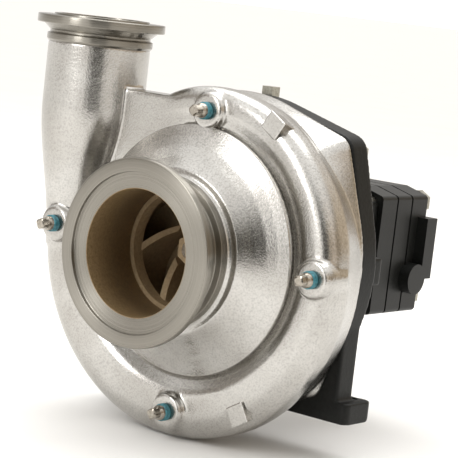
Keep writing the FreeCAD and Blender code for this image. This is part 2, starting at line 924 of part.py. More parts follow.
def impeller():
    seat = impeller_seat_radius + slip_gap
    plate_front = impeller_back_y - impeller_plate
    tip_inner = impeller_tip_front_y + impeller_plate
    shroud_inner = impeller_shroud_y + impeller_plate
    eye_outer = impeller_eye_radius + impeller_eye_wall
    back = turned([
        (seat, hub_front_y, 0),
        (hub_radius - hub_chamfer, hub_front_y, 0),
        (hub_radius, hub_front_y + hub_chamfer, 0),
        (hub_radius, plate_front - hub_flare_length, 0),
        (hub_radius + hub_flare, plate_front, 0),
        (impeller_radius, plate_front, 0),
        (impeller_radius, impeller_back_y, 0),
        (seat, impeller_back_y, 0),
    ])
    front = turned([
        (impeller_eye_radius, impeller_eye_y, 0),
        (eye_outer, impeller_eye_y, 0),
        (eye_outer, impeller_shroud_y, 0),
        (impeller_radius, impeller_tip_front_y, 0),
        (impeller_radius, tip_inner, 0),
        (impeller_eye_radius + shroud_fillet, shroud_inner + shroud_round, 0),
        (impeller_eye_radius, shroud_inner, 0),
    ])
    passage = turned([
        (vane_root_radius, plate_front + vane_overlap, 0),
        (impeller_radius, plate_front + vane_overlap, 0),
        (impeller_radius, tip_inner - vane_overlap, 0),
        (impeller_eye_radius + shroud_fillet, shroud_inner + shroud_round - vane_overlap, 0),
        (impeller_eye_radius, shroud_inner - vane_overlap, 0),
        (vane_root_radius + hub_chamfer, hub_front_y - hub_chamfer, 0),
        (vane_root_radius, hub_front_y, 0),
    ])
    vanes = [vane(360.0 * i / vane_count) for i in range(vane_count)]
    blades = vanes[0].fuse(vanes[1:]).common(passage)
    body = joined([back, front] + blades.Solids)
    return body.cut(key_block(impeller_seat_radius, impeller_key_length, impeller_key_end_y,
                              slip_gap))


def pump_shaft():
    nose_y = hub_front_y + shaft_nose_inset
    collar_front = bearing_front_y - shaft_collar_length
    step_y = bearing_back_y + 2.0 * snap_ring_thickness
    shaft = turned([
        (0, shaft_start_y, 0),
        (nut_thread_radius - shaft_chamfer, shaft_start_y, 0),
        (nut_thread_radius, shaft_start_y + shaft_chamfer, 0),
        (nut_thread_radius, nose_y, 0),
        (impeller_seat_radius, nose_y, 0),
        (impeller_seat_radius, impeller_back_y, 0),
        (seal_shaft_radius, impeller_back_y, 0),
        (seal_shaft_radius, collar_front, 0),
        (shaft_collar_radius, collar_front, 0),
        (shaft_collar_radius, bearing_front_y, 0),
        (bearing_seat_radius, bearing_front_y, 0),
        (bearing_seat_radius, step_y, 0),
        (gear_seat_radius, step_y + shaft_step_run, 0),
        (gear_seat_radius, shaft_end_y - shaft_chamfer, 0),
        (gear_seat_radius - shaft_chamfer, shaft_end_y, 0),
        (0, shaft_end_y, 0),
    ])
    ring_floor = bearing_seat_radius - snap_ring_width / 4.0
    groove = tube(0, 0, shaft_collar_radius, ring_floor, bearing_back_y,
                  bearing_back_y + snap_ring_thickness)
    cuts = [groove]
    cuts.append(key_block(impeller_seat_radius, impeller_key_length, impeller_key_end_y, slip_gap))
    cuts.append(key_block(gear_seat_radius, gear_key_length, gear_key_end(), slip_gap))
    return shaft.cut(cuts)


def impeller_washer():
    back = hub_front_y
    return tube(0, 0, nut_washer_radius, nut_thread_radius + slip_gap,
                back - nut_washer_thickness, back)


def impeller_nut():
    back = hub_front_y - nut_washer_thickness
    front = back - nut_length
    hexed = hexagon(0, 0, nut_across_flats, front, back)
    return hexed.cut(bar(0, 0, nut_thread_radius + slip_gap, front, back))


def slinger():
    inner = seal_shaft_radius + slip_gap
    middle = slinger_y + slinger_length / 2.0
    return turned([
        (inner, slinger_y, 0),
        (inner + slinger_root_wall, slinger_y, 0),
        (slinger_radius, middle - slinger_tip_width / 2.0, 0),
        (slinger_radius, middle + slinger_tip_width / 2.0, 0),
        (inner + slinger_root_wall, slinger_y + slinger_length, 0),
        (inner, slinger_y + slinger_length, 0),
    ])


# Bearings


def bearing_starts():
    return [bearing_front_y, bearing_front_y + bearing_width + bearing_spacing]


def bearing_outer_races():
    """Outer races, each with its two shields."""
    races = []
    lip = bearing_race_gap_inner + free_gap
    for start in bearing_starts():
        end = start + bearing_width
        races.append(turned([
            (lip, start, 0),
            (bearing_outer_radius, start, 0),
            (bearing_outer_radius, end, 0),
            (lip, end, 0),
            (lip, end - bearing_shield, 0),
            (bearing_race_gap_outer, end - bearing_shield, 0),
            (bearing_race_gap_outer, start + bearing_shield, 0),
            (lip, start + bearing_shield, 0),
        ]))
    return group(races)


def bearing_inner_races():
    inner = bearing_seat_radius + slip_gap
    return group([tube(0, 0, bearing_race_gap_inner, inner, start, start + bearing_width)
                  for start in bearing_starts()])


def bearing_spacer():
    start = bearing_front_y + bearing_width
    return tube(0, 0, shaft_collar_radius, bearing_seat_radius + slip_gap, start,
                start + bearing_spacing)


def open_ring(inner, outer, y0, y1):
    """Snap ring with its gap at the top."""
    gap = block(-snap_ring_width, snap_ring_width, y0, y1, 0, outer + cut_margin)
    return tube(0, 0, outer, inner, y0, y1).cut(gap)


def bearing_snap_ring():
    outer = bearing_outer_radius + snap_ring_width / 3.0
    return open_ring(outer - snap_ring_width, outer, bearing_back_y,
                     bearing_back_y + snap_ring_thickness)


def shaft_snap_ring():
    inner = bearing_seat_radius - snap_ring_width / 4.0 + slip_gap
    return open_ring(inner, inner + snap_ring_width, bearing_back_y,
                     bearing_back_y + snap_ring_thickness - slip_gap)


# Frame


def frame_legs():
    """Two leg walls with a thin web between them, down to the foot."""
    foot_top = foot_thickness - shaft_height
    legs = block(-leg_half_width, leg_half_width, 0, frame_rim_depth, foot_top, leg_top)
    inner = leg_half_width - leg_wall
    return legs.cut(block(-inner, inner, frame_plate_thickness, frame_rim_depth, foot_top,
                          leg_top))


def frame_foot():
    base = -shaft_height
    corner = foot_corner_radius
    wire = rounded_wire([
        (-foot_half_width, 0, corner),
        (foot_half_width, 0, corner),
        (foot_half_width, foot_depth, corner),
        (-foot_half_width, foot_depth, corner),
    ], lambda p: vec(p.x, p.y, base))
    return Part.Face(wire).extrude(vec(0, 0, foot_thickness))


def frame_ribs():
    """Four ribs from the frame's plate back to the neck, one behind each ear."""
    ribs = []
    side = -rib_thickness / 2.0
    for i in range(ear_count):
        wire = Part.makePolygon([
            vec(side, frame_plate_thickness, bearing_outer_radius),
            vec(side, frame_plate_thickness, rim_radius - frame_rim_width),
            vec(side, frame_rim_depth, rim_radius - frame_rim_width),
            vec(side, rib_end_y, neck_radius + rib_end_height),
            vec(side, rib_end_y, bearing_outer_radius),
            vec(side, frame_plate_thickness, bearing_outer_radius),
        ])
        rib = Part.Face(wire).extrude(vec(rib_thickness, 0, 0)).cut(neck_form())
        rib.rotate(CENTRE, Y_AXIS, ear_angle + 360.0 * i / ear_count)
        ribs.append(rib)
    return group(ribs)


def frame_lugs():
    lugs = []
    for side in (1, -1):
        outer = lug_outer_x * side
        inner = (lug_outer_x - lug_width) * side
        lugs.append(block(min(outer, inner), max(outer, inner), frame_plate_thickness,
                          lug_reach, -lug_height / 2.0, lug_height / 2.0))
    return lugs


def neck_form():
    """Outside of the bearing housing: a cone that runs into a straight neck."""
    return turned([
        (0, 0, 0),
        (neck_front_radius, 0, 0),
        (neck_front_radius, frame_plate_thickness, 0),
        (neck_radius, neck_cone_end_y, 0),
        (neck_radius, motor_front_y, 0),
        (0, motor_front_y, 0),
    ])


def bearing_housing():
    """Neck with the bearing seats and, at its end, the pad that carries the motor."""
    pad = motor_outline(mounting_pad_inset, motor_pad_y, motor_front_y)
    body = joined([neck_form(), pad])
    half_drain = drain_width / 2.0
    ring_seat = bearing_outer_radius + snap_ring_width / 3.0 + slip_gap
    cuts = [
        bar(0, 0, seal_hub_radius + slip_gap, 0, seal_hub_length + slip_gap),
        bar(0, 0, tunnel_radius, 0, bearing_front_y),
        bar(0, 0, bearing_outer_radius + slip_gap, bearing_front_y, motor_front_y),
        bar(0, 0, ring_seat, bearing_back_y, bearing_back_y + snap_ring_thickness),
        block(-half_drain, half_drain, drain_start_y, drain_start_y + drain_length,
              -neck_front_radius, 0),
    ]
    for x, z in motor_bolt_places:
        cuts.append(bar(x, z, motor_bolt_radius + slip_gap, motor_front_y - motor_thread_depth,
                        motor_front_y))
    return body.cut(cuts)


def frame_boss():
    """Upright boss for the frame's plug, on a web from the plate."""
    boss = Part.makeCylinder(frame_boss_radius, frame_boss_top - frame_boss_root,
                             vec(0, frame_boss_y, frame_boss_root), Z_AXIS)
    half = frame_boss_web / 2.0
    web = block(-half, half, frame_plate_thickness, frame_boss_y, frame_boss_root,
                rim_radius - frame_rim_width)
    return [boss, web]


def mounting_frame():
    """Plate with an eared rim, two legs and the foot."""
    rim = eared_plate(frame_margin, 0.0, frame_rim_depth)
    pocket = bar(0, 0, rim_radius - frame_rim_width, frame_plate_thickness, frame_rim_depth)
    body = joined([rim.cut(pocket), frame_legs(), frame_foot()] + frame_boss() + frame_lugs())
    reach = rim_radius + ear_radius
    below = block(-reach, reach, -cut_margin, frame_rim_depth + cut_margin,
                  -shaft_height - reach, -shaft_height)
    cuts = [
        below,
        neck_form(),
        Part.makeCylinder(plug_thread_radius, plug_thread_depth,
                          vec(0, frame_boss_y, frame_boss_top - plug_thread_depth), Z_AXIS),
    ]
    for side in (1, -1):
        cuts.append(Part.makeCylinder(foot_hole_radius, foot_thickness,
                                      vec(side * foot_hole_x, foot_hole_y, -shaft_height), Z_AXIS))
    cuts += casing_bolt_bars(casing_bolt_radius + bolt_gap, -cut_margin,
                             frame_rim_depth + cut_margin)
    cuts += casing_bolt_bars(lock_washer_radius + free_gap, frame_rim_depth,
                             foot_depth + cut_margin)
    return body.cut(cuts)


def frame_plug():
    half = frame_plug_square / 2.0
    head = block(-half, half, frame_boss_y - half, frame_boss_y + half, frame_boss_top,
                 frame_boss_top + frame_plug_height)
    thread = Part.makeCylinder(plug_thread_radius - slip_gap, plug_thread_depth,
                               vec(0, frame_boss_y, frame_boss_top - plug_thread_depth), Z_AXIS)
    return head.fuse(thread)


def casing_bolts():
    """Hexagon bolts from the back of the frame's ears into the casing flange."""
    bolts = []
    seat_y = frame_rim_depth + lock_washer_thickness
    shanks = casing_bolt_bars(casing_bolt_radius, -casing_thread_depth, seat_y)
    for seat, shank in zip(ear_centres(), shanks):
        head = hexagon(seat.x, seat.z, casing_bolt_head_flats, seat_y,
                       seat_y + casing_bolt_head_height)
        bolts.append(shank.fuse(head))
    return group(bolts)


def casing_lock_washers():
    washers = []
    for seat in ear_centres():
        washers.append(tube(seat.x, seat.z, lock_washer_radius, casing_bolt_radius + slip_gap,
                            frame_rim_depth, frame_rim_depth + lock_washer_thickness))
    return group(washers)


# Gear motor


def motor_outline(inset, y0, y1):
    """Slice of the motor body: flat sides and sloping shoulders on top."""
    left = motor_left_x + inset
    right = motor_right_x - inset
    top = motor_top - inset
    low = motor_bottom + inset
    corner = motor_corner_radius
    return plate([
        (left, low, corner),
        (right, low, corner),
        (right, top - shoulder_drop, corner),
        (right - shoulder_run, top, 0),
        (left + shoulder_run, top, 0),
        (left, top - shoulder_drop, corner),
    ], y0, y1)


def joint_groove(y0, y1):
    """Shallow groove around the motor body."""
    return motor_outline(-cut_margin, y0, y1).cut(motor_outline(groove_depth, y0, y1))


def motor_bolt_holes(y0, y1):
    return [bar(x, z, motor_bolt_radius + bolt_gap, y0, y1) for x, z in motor_bolt_places]


def dowel_places():
    return [(motor_right_x - dowel_inset, dowel_z), (motor_left_x + dowel_inset, -dowel_z)]


def dowel_bars(radius, y0, y1):
    return [bar(x, z, radius, y0, y1) for x, z in dowel_places()]


def gear_track(offset, y0, y1):
    """Figure of the two gear bores grown by an offset."""
    radius = gear_tip_radius + gear_tip_gap + offset
    return bar(0, 0, radius, y0, y1).fuse(bar(idler_x, 0, radius, y0, y1))


def track_ring(y0, y1):
    outer = gear_track(seal_track_offset + seal_track_width, y0, y1)
    return outer.cut(gear_track(seal_track_offset, y0, y1))


def motor_front_plate():
    start = motor_front_y
    end = gear_front_y
    half = groove_width / 2.0
    cuts = [
        joint_groove(end - half, end),
        bar(0, 0, motor_seal_radius + slip_gap, start, start + motor_seal_length),
        bar(0, 0, gear_seat_radius + free_gap, start, end),
        bar(0, 0, bush_radius + slip_gap, end - bush_length, end),
        bar(idler_x, 0, bush_radius + slip_gap, end - bush_length, end),
    ]
    cuts += motor_bolt_holes(start, end)
    cuts += dowel_bars(dowel_radius + slip_gap, end - dowel_reach, end)
    return motor_outline(0.0, start, end).cut(cuts)


def motor_gear_plate():
    start = gear_front_y
    end = gear_back_y
    cuts = [
        joint_groove(start, start + groove_width / 2.0),
        gear_track(0.0, start, end),
        track_ring(start, start + seal_track_depth),
        track_ring(end - seal_track_depth, end),
    ]
    cuts += motor_bolt_holes(start, end)
    cuts += dowel_bars(dowel_radius + slip_gap, start, end)
    return motor_outline(0.0, start, end).cut(cuts)


def motor_seals():
    """Face seals in the tracks on both sides of the gear plate."""
    return group([track_ring(gear_front_y, gear_front_y + seal_track_depth),
                  track_ring(gear_back_y - seal_track_depth, gear_back_y)])


def keyhole_boss():
    """Raised boss on the right side: a round end with a bar up to the shoulder."""
    x0 = motor_right_x - keyhole_root
    reach = keyhole_reach + keyhole_root
    disc = Part.makeCylinder(keyhole_radius, reach, vec(x0, keyhole_y, keyhole_z), vec(1, 0, 0))
    strip = block(x0, x0 + reach, motor_back_y - keyhole_bar_depth,
                  motor_back_y + keyhole_bar_overhang, keyhole_z, keyhole_bar_top)
    return disc.fuse(strip)


def motor_rear_cover():
    start = gear_back_y
    end = motor_back_y
    port_x = idler_x / 2.0
    half = groove_width / 2.0
    cuts = [
        joint_groove(rear_groove_y - half, rear_groove_y + half),
        bar(0, 0, bush_radius + slip_gap, start, start + bush_length),
        bar(idler_x, 0, bush_radius + slip_gap, start, start + bush_length),
        bar(motor_left_x + bypass_inset, 0, bypass_radius + running_gap, end - bypass_depth, end),
    ]
    for side in (1, -1):
        cuts.append(bar(port_x, side * port_z, port_radius, end - port_depth, end))
        cuts.append(bar(port_x, side * port_passage_z, port_passage_radius, start,
                        end - port_depth + cut_margin))
    cuts += motor_bolt_holes(start, end)
    cuts += dowel_bars(dowel_radius + slip_gap, start, start + dowel_reach)
    return joined([motor_outline(0.0, start, end), keyhole_boss()]).cut(cuts)


def motor_bolts():
    """Long bolts through the three plates into the frame."""
    bolts = []
    seat_y = motor_back_y + motor_washer_thickness
    for x, z in motor_bolt_places:
        shank = bar(x, z, motor_bolt_radius, motor_front_y - motor_thread_depth, seat_y)
        head = hexagon(x, z, motor_bolt_head_flats, seat_y, seat_y + motor_bolt_head_height)
        bolts.append(shank.fuse(head))
    return group(bolts)


def motor_washers():
    return group([tube(x, z, motor_washer_radius, motor_bolt_radius + slip_gap, motor_back_y,
                       motor_back_y + motor_washer_thickness) for x, z in motor_bolt_places])


def motor_dowels():
    return group(dowel_bars(dowel_radius, gear_front_y - dowel_reach, gear_back_y + dowel_reach))


def motor_shaft_seal():
    return tube(0, 0, motor_seal_radius, gear_seat_radius + running_gap, motor_front_y,
                motor_front_y + motor_seal_length)


def gear_bushes():
    """Bronze bushes of both gear shafts, in front of and behind the gears."""
    bushes = []
    for x in (0.0, idler_x):
        for start in (gear_front_y - bush_length, gear_back_y):
            bushes.append(tube(x, 0, bush_radius, gear_seat_radius + running_gap, start,
                               start + bush_length))
    return group(bushes)


def involute_point(base, radius, start_angle, side):
    """Point of an involute flank; below the base circle the flank is radial."""
    roll = math.sqrt(max(0.0, (radius / base) ** 2 - 1.0))
    swing = roll - math.atan(roll)
    turn = start_angle + side * swing
    return vec(radius * math.cos(turn), 0, radius * math.sin(turn))


def spur_gear(phase):
    """Gear about the shaft line with a tooth centred at the phase angle from +X."""
    base = pitch_radius * math.cos(math.radians(pressure_angle))
    root = pitch_radius - dedendum_factor * gear_module
    tip = gear_tip_radius
    pitch_roll = math.tan(math.radians(pressure_angle)) - math.radians(pressure_angle)
    half_tooth = math.pi / (2.0 * gear_teeth) - gear_backlash / (2.0 * pitch_radius) + pitch_roll
    radii = [root, base, (base + pitch_radius) / 2.0, pitch_radius, (pitch_radius + tip) / 2.0, tip]
    points = []
    for i in range(gear_teeth):
        middle = math.radians(phase) + 2.0 * math.pi * i / gear_teeth
        for radius in radii:
            points.append(involute_point(base, radius, middle - half_tooth, 1))
        for radius in reversed(radii):
            points.append(involute_point(base, radius, middle + half_tooth, -1))
    wire = Part.makePolygon(points + points[:1])
    return Part.Face(wire).extrude(vec(0, gear_length - 2.0 * gear_side_gap, 0))


def drive_gear():
    gear = spur_gear(0.0)
    gear.translate(vec(0, gear_front_y + gear_side_gap, 0))
    keyway = key_block(gear_seat_radius, gear_key_length, gear_key_end(), slip_gap)
    return gear.cut([bar(0, 0, gear_seat_radius + slip_gap, gear_front_y, gear_back_y), keyway])


def idler_gear():
    gear = spur_gear(180.0 / gear_teeth)
    gear.translate(vec(idler_x, gear_front_y + gear_side_gap, 0))
    return gear.cut(bar(idler_x, 0, gear_seat_radius + slip_gap, gear_front_y, gear_back_y))


def idler_shaft():
    return bar(idler_x, 0, gear_seat_radius, gear_front_y - bush_length + free_gap,
               gear_back_y + bush_length - free_gap)


def bypass_screw():
    """Slotted adjusting screw of the bypass."""
    x = motor_left_x + bypass_inset
    end = motor_back_y + bypass_reach
    screw = bar(x, 0, bypass_radius, motor_back_y - bypass_depth + free_gap, end)
    half = bypass_slot_width / 2.0
    slot = block(x - bypass_radius, x + bypass_radius, end - bypass_slot_depth, end, -half, half)
    return screw.cut(slot)


def bypass_locknut():
    x = motor_left_x + bypass_inset
    end = motor_back_y + bypass_nut_height
    nut = hexagon(x, 0, bypass_nut_flats, motor_back_y, end)
    return nut.cut(bar(x, 0, bypass_radius + running_gap, motor_back_y, end))


def main():
    os.makedirs("parts", exist_ok=True)
    makers = [
        volute_casing, inlet_dome, outlet_pipe, casing_plugs, casing_plug_seals, casing_gasket,
        seal_plate, seal_seat_cup, seal_seat, seal_face, seal_bellows, seal_spring,
        impeller, impeller_key, impeller_washer, impeller_nut, pump_shaft, slinger,
        bearing_outer_races, bearing_inner_races, bearing_spacer, bearing_snap_ring,
        shaft_snap_ring, mounting_frame, bearing_housing, frame_ribs, frame_plug,
        casing_bolts, casing_lock_washers,
        motor_front_plate, motor_gear_plate, motor_rear_cover, motor_seals, motor_bolts,
        motor_washers, motor_dowels, motor_shaft_seal, gear_bushes, drive_gear, drive_gear_key,
        idler_gear, idler_shaft, bypass_screw, bypass_locknut,
    ]
    to_row = vec(0, -foot_depth / 2.0, shaft_height)
    for maker in makers:
        shape = maker()
        shape.translate(to_row)
        shape.exportStep("parts/" + maker.__name__ + ".step")


main()
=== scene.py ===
import math
import json

import bmesh
import bpy
from mathutils import Matrix, Vector


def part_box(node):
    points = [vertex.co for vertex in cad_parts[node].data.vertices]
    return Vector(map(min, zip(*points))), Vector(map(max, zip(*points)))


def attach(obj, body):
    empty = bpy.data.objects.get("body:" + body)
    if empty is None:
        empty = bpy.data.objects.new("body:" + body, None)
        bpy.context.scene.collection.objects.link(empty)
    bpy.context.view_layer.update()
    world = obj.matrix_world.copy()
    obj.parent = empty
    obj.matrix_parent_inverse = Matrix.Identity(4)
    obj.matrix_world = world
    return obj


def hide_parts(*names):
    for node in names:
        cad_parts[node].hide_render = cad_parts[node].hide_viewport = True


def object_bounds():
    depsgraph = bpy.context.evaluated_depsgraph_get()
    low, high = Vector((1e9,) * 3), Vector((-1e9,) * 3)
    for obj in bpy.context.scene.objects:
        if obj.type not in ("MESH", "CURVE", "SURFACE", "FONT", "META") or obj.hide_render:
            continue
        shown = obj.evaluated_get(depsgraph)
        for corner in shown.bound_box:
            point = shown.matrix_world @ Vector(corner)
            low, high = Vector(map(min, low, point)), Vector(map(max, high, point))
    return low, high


bl_info = {
    "name": "Volute pump dressing",
    "version": (1, 0, 0),
    "blender": (4, 5, 0),
    "location": "View3D > Sidebar > Pump",
    "description": "Dresses the packed centrifugal pump with castings, turned flanges and finishes",
    "category": "Object",
}

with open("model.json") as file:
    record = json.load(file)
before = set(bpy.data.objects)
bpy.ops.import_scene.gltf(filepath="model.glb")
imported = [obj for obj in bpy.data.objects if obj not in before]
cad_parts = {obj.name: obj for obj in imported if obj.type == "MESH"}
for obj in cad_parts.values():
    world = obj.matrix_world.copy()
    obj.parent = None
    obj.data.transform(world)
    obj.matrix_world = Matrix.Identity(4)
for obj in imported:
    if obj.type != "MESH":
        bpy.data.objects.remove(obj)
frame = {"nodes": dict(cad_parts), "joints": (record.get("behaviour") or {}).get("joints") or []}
cad_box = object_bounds()

# The shaft line's height and the plane between casing and mounting frame, from the frame.
SHAFT_HEIGHT = frame["joints"][0]["pos_m"][2] * 1000.0
JOINT_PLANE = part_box("mounting_frame")[0].y * 1000.0

# Edges that turn by more than this stay sharp, or are broken by a bevel.
SHARP_ANGLE = math.radians(35.0)


# Settings

class CastingSizes(bpy.types.PropertyGroup):
    """Sizes of the cast casing in millimetres about the shaft line."""

    start_radius: bpy.props.FloatProperty(
        name="Scroll start radius", description="Outer radius of the scroll at the top",
        default=96.0, unit="NONE")
    growth: bpy.props.FloatProperty(
        name="Scroll growth", description="How much the outer radius grows up to the outlet",
        default=18.0, unit="NONE")
    voxel: bpy.props.FloatProperty(
        name="Casting grid", description="Grid size that joins the parts of the casting",
        default=0.9, min=0.4, unit="NONE")
    soften: bpy.props.IntProperty(
        name="Casting softness", description="Smoothing passes that round the cast edges",
        default=7, min=0, max=40)


class FlangeSizes(bpy.types.PropertyGroup):
    """Sizes of the two turned clamp flanges in millimetres."""

    inlet_bore: bpy.props.FloatProperty(
        name="Inlet bore", description="Radius of the inlet bore", default=36.5, unit="NONE")
    inlet_rim: bpy.props.FloatProperty(
        name="Inlet flange", description="Radius of the inlet's clamp flange", default=54.0,
        unit="NONE")
    outlet_bore: bpy.props.FloatProperty(
        name="Outlet bore", description="Radius of the outlet bore", default=25.4, unit="NONE")
    outlet_rim: bpy.props.FloatProperty(
        name="Outlet flange", description="Radius of the outlet's clamp flange", default=38.8,
        unit="NONE")


class StageSizes(bpy.types.PropertyGroup):
    """Camera and floor."""

    azimuth: bpy.props.FloatProperty(
        name="Azimuth", description="Angle of the camera to the shaft line",
        default=math.radians(40.0), subtype="ANGLE")
    elevation: bpy.props.FloatProperty(
        name="Elevation", description="Height angle of the camera", default=math.radians(8.0),
        subtype="ANGLE")
    roll: bpy.props.FloatProperty(
        name="Roll", description="Tilt of the picture", default=math.radians(6.2),
        subtype="ANGLE")
    distance: bpy.props.FloatProperty(
        name="Distance", description="From the camera to the inlet face", default=1.067,
        unit="LENGTH")
    floor_colour: bpy.props.StringProperty(
        name="Floor colour", description="Hex colour of the floor", default="#f4f3f1")


# Meshes

def spot(x, y, z):
    """Point of the frame from millimetres about the shaft line and the joint plane."""
    return Vector((x, y + JOINT_PLANE, z + SHAFT_HEIGHT)) / 1000.0


def clock(angle, radius, y=0.0):
    """Point at a clock angle in degrees, clockwise from the top seen from the inlet."""
    turn = math.radians(angle)
    return (radius * math.sin(turn), y, radius * math.cos(turn))


def arc_corner(previous, here, following, radius, steps=7):
    """Points of the arc that rounds one corner of an outline."""
    a = (Vector(previous) - Vector(here)).normalized()
    b = (Vector(following) - Vector(here)).normalized()
    half = a.angle(b) / 2.0
    run = radius / math.tan(half)
    centre = Vector(here) + (a + b).normalized() * (radius / math.sin(half))
    start = Vector(here) + a * run - centre
    end = Vector(here) + b * run - centre
    sweep = start.angle(end)
    points = []
    for i in range(steps):
        share = i / (steps - 1)
        one = math.sin((1.0 - share) * sweep)
        two = math.sin(share * sweep)
        points.append(centre + (start * one + end * two) / math.sin(sweep))
    return points


def outline(corners, steps=7):
    """Points of a closed outline from (u, v, rounding) corners."""
    points = []
    count = len(corners)
    for i, (u, v, radius) in enumerate(corners):
        if radius <= 0.0:
            points.append(Vector((u, v)))
            continue
        points.extend(arc_corner(corners[i - 1][:2], (u, v), corners[(i + 1) % count][:2],
                                 radius, steps))
    return points


def skin(loops, closed=False, caps=True):
    """Mesh over a row of loops with equal counts, closed round or capped at its ends."""
    mesh = bmesh.new()
    rows = [[mesh.verts.new(spot(*point)) for point in loop] for loop in loops]
    pairs = list(zip(rows, rows[1:]))
    if closed:
        pairs.append((rows[-1], rows[0]))
    for one, two in pairs:
        for i in range(len(one)):
            j = (i + 1) % len(one)
            mesh.faces.new((one[i], one[j], two[j], two[i]))
    if caps and not closed:
        mesh.faces.new(list(reversed(rows[0])))
        mesh.faces.new(rows[-1])
    bmesh.ops.recalc_face_normals(mesh, faces=mesh.faces)
    return mesh


def turned(corners, centre=(0.0, 0.0), upright=False, steps=7, around=180):
    """Ring with the (radius, height, rounding) outline, about the shaft line or upright."""
    profile = outline(corners, steps)
    loops = []
    for i in range(around):
        turn = 2.0 * math.pi * i / around
        if upright:
            loops.append([(centre[0] + p.x * math.cos(turn), centre[1] + p.x * math.sin(turn), p.y)
                          for p in profile])
        else:
            loops.append([(centre[0] + p.x * math.sin(turn), p.y, centre[1] + p.x * math.cos(turn))
                          for p in profile])
    return skin(loops, closed=True)


def block(x0, x1, y0, y1, z0, z1, turn=0.0):
    """Rectangular block, turned about the shaft line by a clock angle."""
    cos = math.cos(math.radians(turn))
    sin = math.sin(math.radians(turn))
    loops = []
    for y in (y0, y1):
        loop = []
        for x, z in ((x0, z0), (x1, z0), (x1, z1), (x0, z1)):
            loop.append((x * cos + z * sin, y, z * cos - x * sin))
        loops.append(loop)
    return skin(loops)


def piece(name, parts, finish, smooth=True):
    """One object from several meshes."""
    whole = bpy.data.meshes.new(name)
    total = bmesh.new()
    for part in parts:
        held = bpy.data.meshes.new("held")
        part.to_mesh(held)
        part.free()
        total.from_mesh(held)
        bpy.data.meshes.remove(held)
    total.to_mesh(whole)
    total.free()
    made = bpy.data.objects.new(name, whole)
    bpy.context.scene.collection.objects.link(made)
    whole.materials.append(finish)
    if smooth:
        whole.polygons.foreach_set("use_smooth", [True] * len(whole.polygons))
    return made


def settle(made, voxel, passes):
    """Joins overlapping parts on a fine grid, then softens every edge as casting does."""
    grid = made.modifiers.new("grid", "REMESH")
    grid.mode = "VOXEL"
    grid.voxel_size = voxel / 1000.0
    grid.use_smooth_shade = True
    soft = made.modifiers.new("soft", "SMOOTH")
    soft.factor = 0.5
    soft.iterations = passes


def apply_modifiers(made):
    """Turns the modifiers' result into the piece's own mesh."""
    depsgraph = bpy.context.evaluated_depsgraph_get()
    result = bpy.data.meshes.new_from_object(made.evaluated_get(depsgraph))
    made.modifiers.clear()
    made.data = result


# Shapes of the casting, in millimetres and clock degrees

# The scroll's tail starts behind the outlet, where its radius is less by the drop.
SCROLL_START = -48.0
SCROLL_END = 270.0
SWELL_END = 230.0
TAIL_DROP = 10.3
# The discharge is square at its foot and round after its rise.
OUTLET = (-94.0, -32.0)
OUTLET_FOOT = -14.0
OUTLET_RISE = 88.0
OUTLET_BORE = 25.4
PIPE_RADIUS = 31.0
PIPE_TOP = 111.0
# The pump chamber, the seat of the seal plate behind it and the rear flange.
CHAMBER_RADIUS = 74.0
SEAT_RADIUS = 80.1
SEAT_FRONT = -9.0
FLANGE_FRONT = -2.0
FLANGE_RADIUS = 94.6
FLARE_FRONT = -25.0
BASE_FRONT = -38.8
EAR_COUNT = 4
EAR_STEPS = 720
EAR_ANGLE = 45.0
DOME_RADIUS = 73.5
INLET_FACE = -92.0


def scroll_radius(angle, sizes):
    """Outer radius of the scroll at a clock angle."""
    if angle < 0.0:
        return sizes.start_radius - TAIL_DROP * (angle / SCROLL_START) ** 2
    swell = (1.0 - math.cos(math.pi * min(1.0, angle / SWELL_END))) / 2.0
    return sizes.start_radius + sizes.growth * swell


def scroll_outer(angle, sizes):
    """Outline of the scroll's metal at a clock angle."""
    share = angle / SCROLL_END
    outer = scroll_radius(angle, sizes)
    front = -39.6 - 10.0 * share
    shoulder = 8.0 + 8.0 * share
    return outline([
        (71.0, -37.5, 0),
        (83.0, front, 9.0),
        (outer, front, shoulder),
        (outer, -24.0, 12.0),
        (outer - 7.0, FLANGE_FRONT, 0),
        (SEAT_RADIUS, FLANGE_FRONT, 0),
        (SEAT_RADIUS, SEAT_FRONT, 0),
        (CHAMBER_RADIUS, SEAT_FRONT, 0),
        (CHAMBER_RADIUS, -33.0, 0),
        (71.0, -33.0, 0),
    ], 9)


def scroll_metal(sizes):
    """The scroll from its start behind the outlet round to the outlet's foot."""
    steps = 200
    loops = []
    for i in range(steps + 1):
        angle = SCROLL_START + (SCROLL_END - SCROLL_START) * i / steps
        loops.append([clock(angle, p.x, p.y) for p in scroll_outer(angle, sizes)])
    return skin(loops)


def outlet_loop(z, sizes, inset):
    """Outline of the discharge: a rounded square low down, round at the top."""
    step = (z - OUTLET_FOOT) / OUTLET_RISE
    share = step * step * (3.0 - 2.0 * step)
    outer = sizes.start_radius + sizes.growth
    x, y = OUTLET
    radius = PIPE_RADIUS
    # Both ends as (left, right, front, back, corner radius).
    low = (-outer, -83.0, -49.6, FLANGE_FRONT, 15.0)
    high = (x - radius, x + radius, y - radius, y + radius, radius)
    x0, x1, y0, y1, corner = (a + (b - a) * share for a, b in zip(low, high))
    corner = min(corner - inset, (x1 - x0) / 2.0 - inset - 0.02)
    points = outline([
        (x0 + inset, y0 + inset, corner),
        (x1 - inset, y0 + inset, corner),
        (x1 - inset, y1 - inset, corner),
        (x0 + inset, y1 - inset, corner),
    ], 16)
    return [(p.x, p.y, z) for p in points]


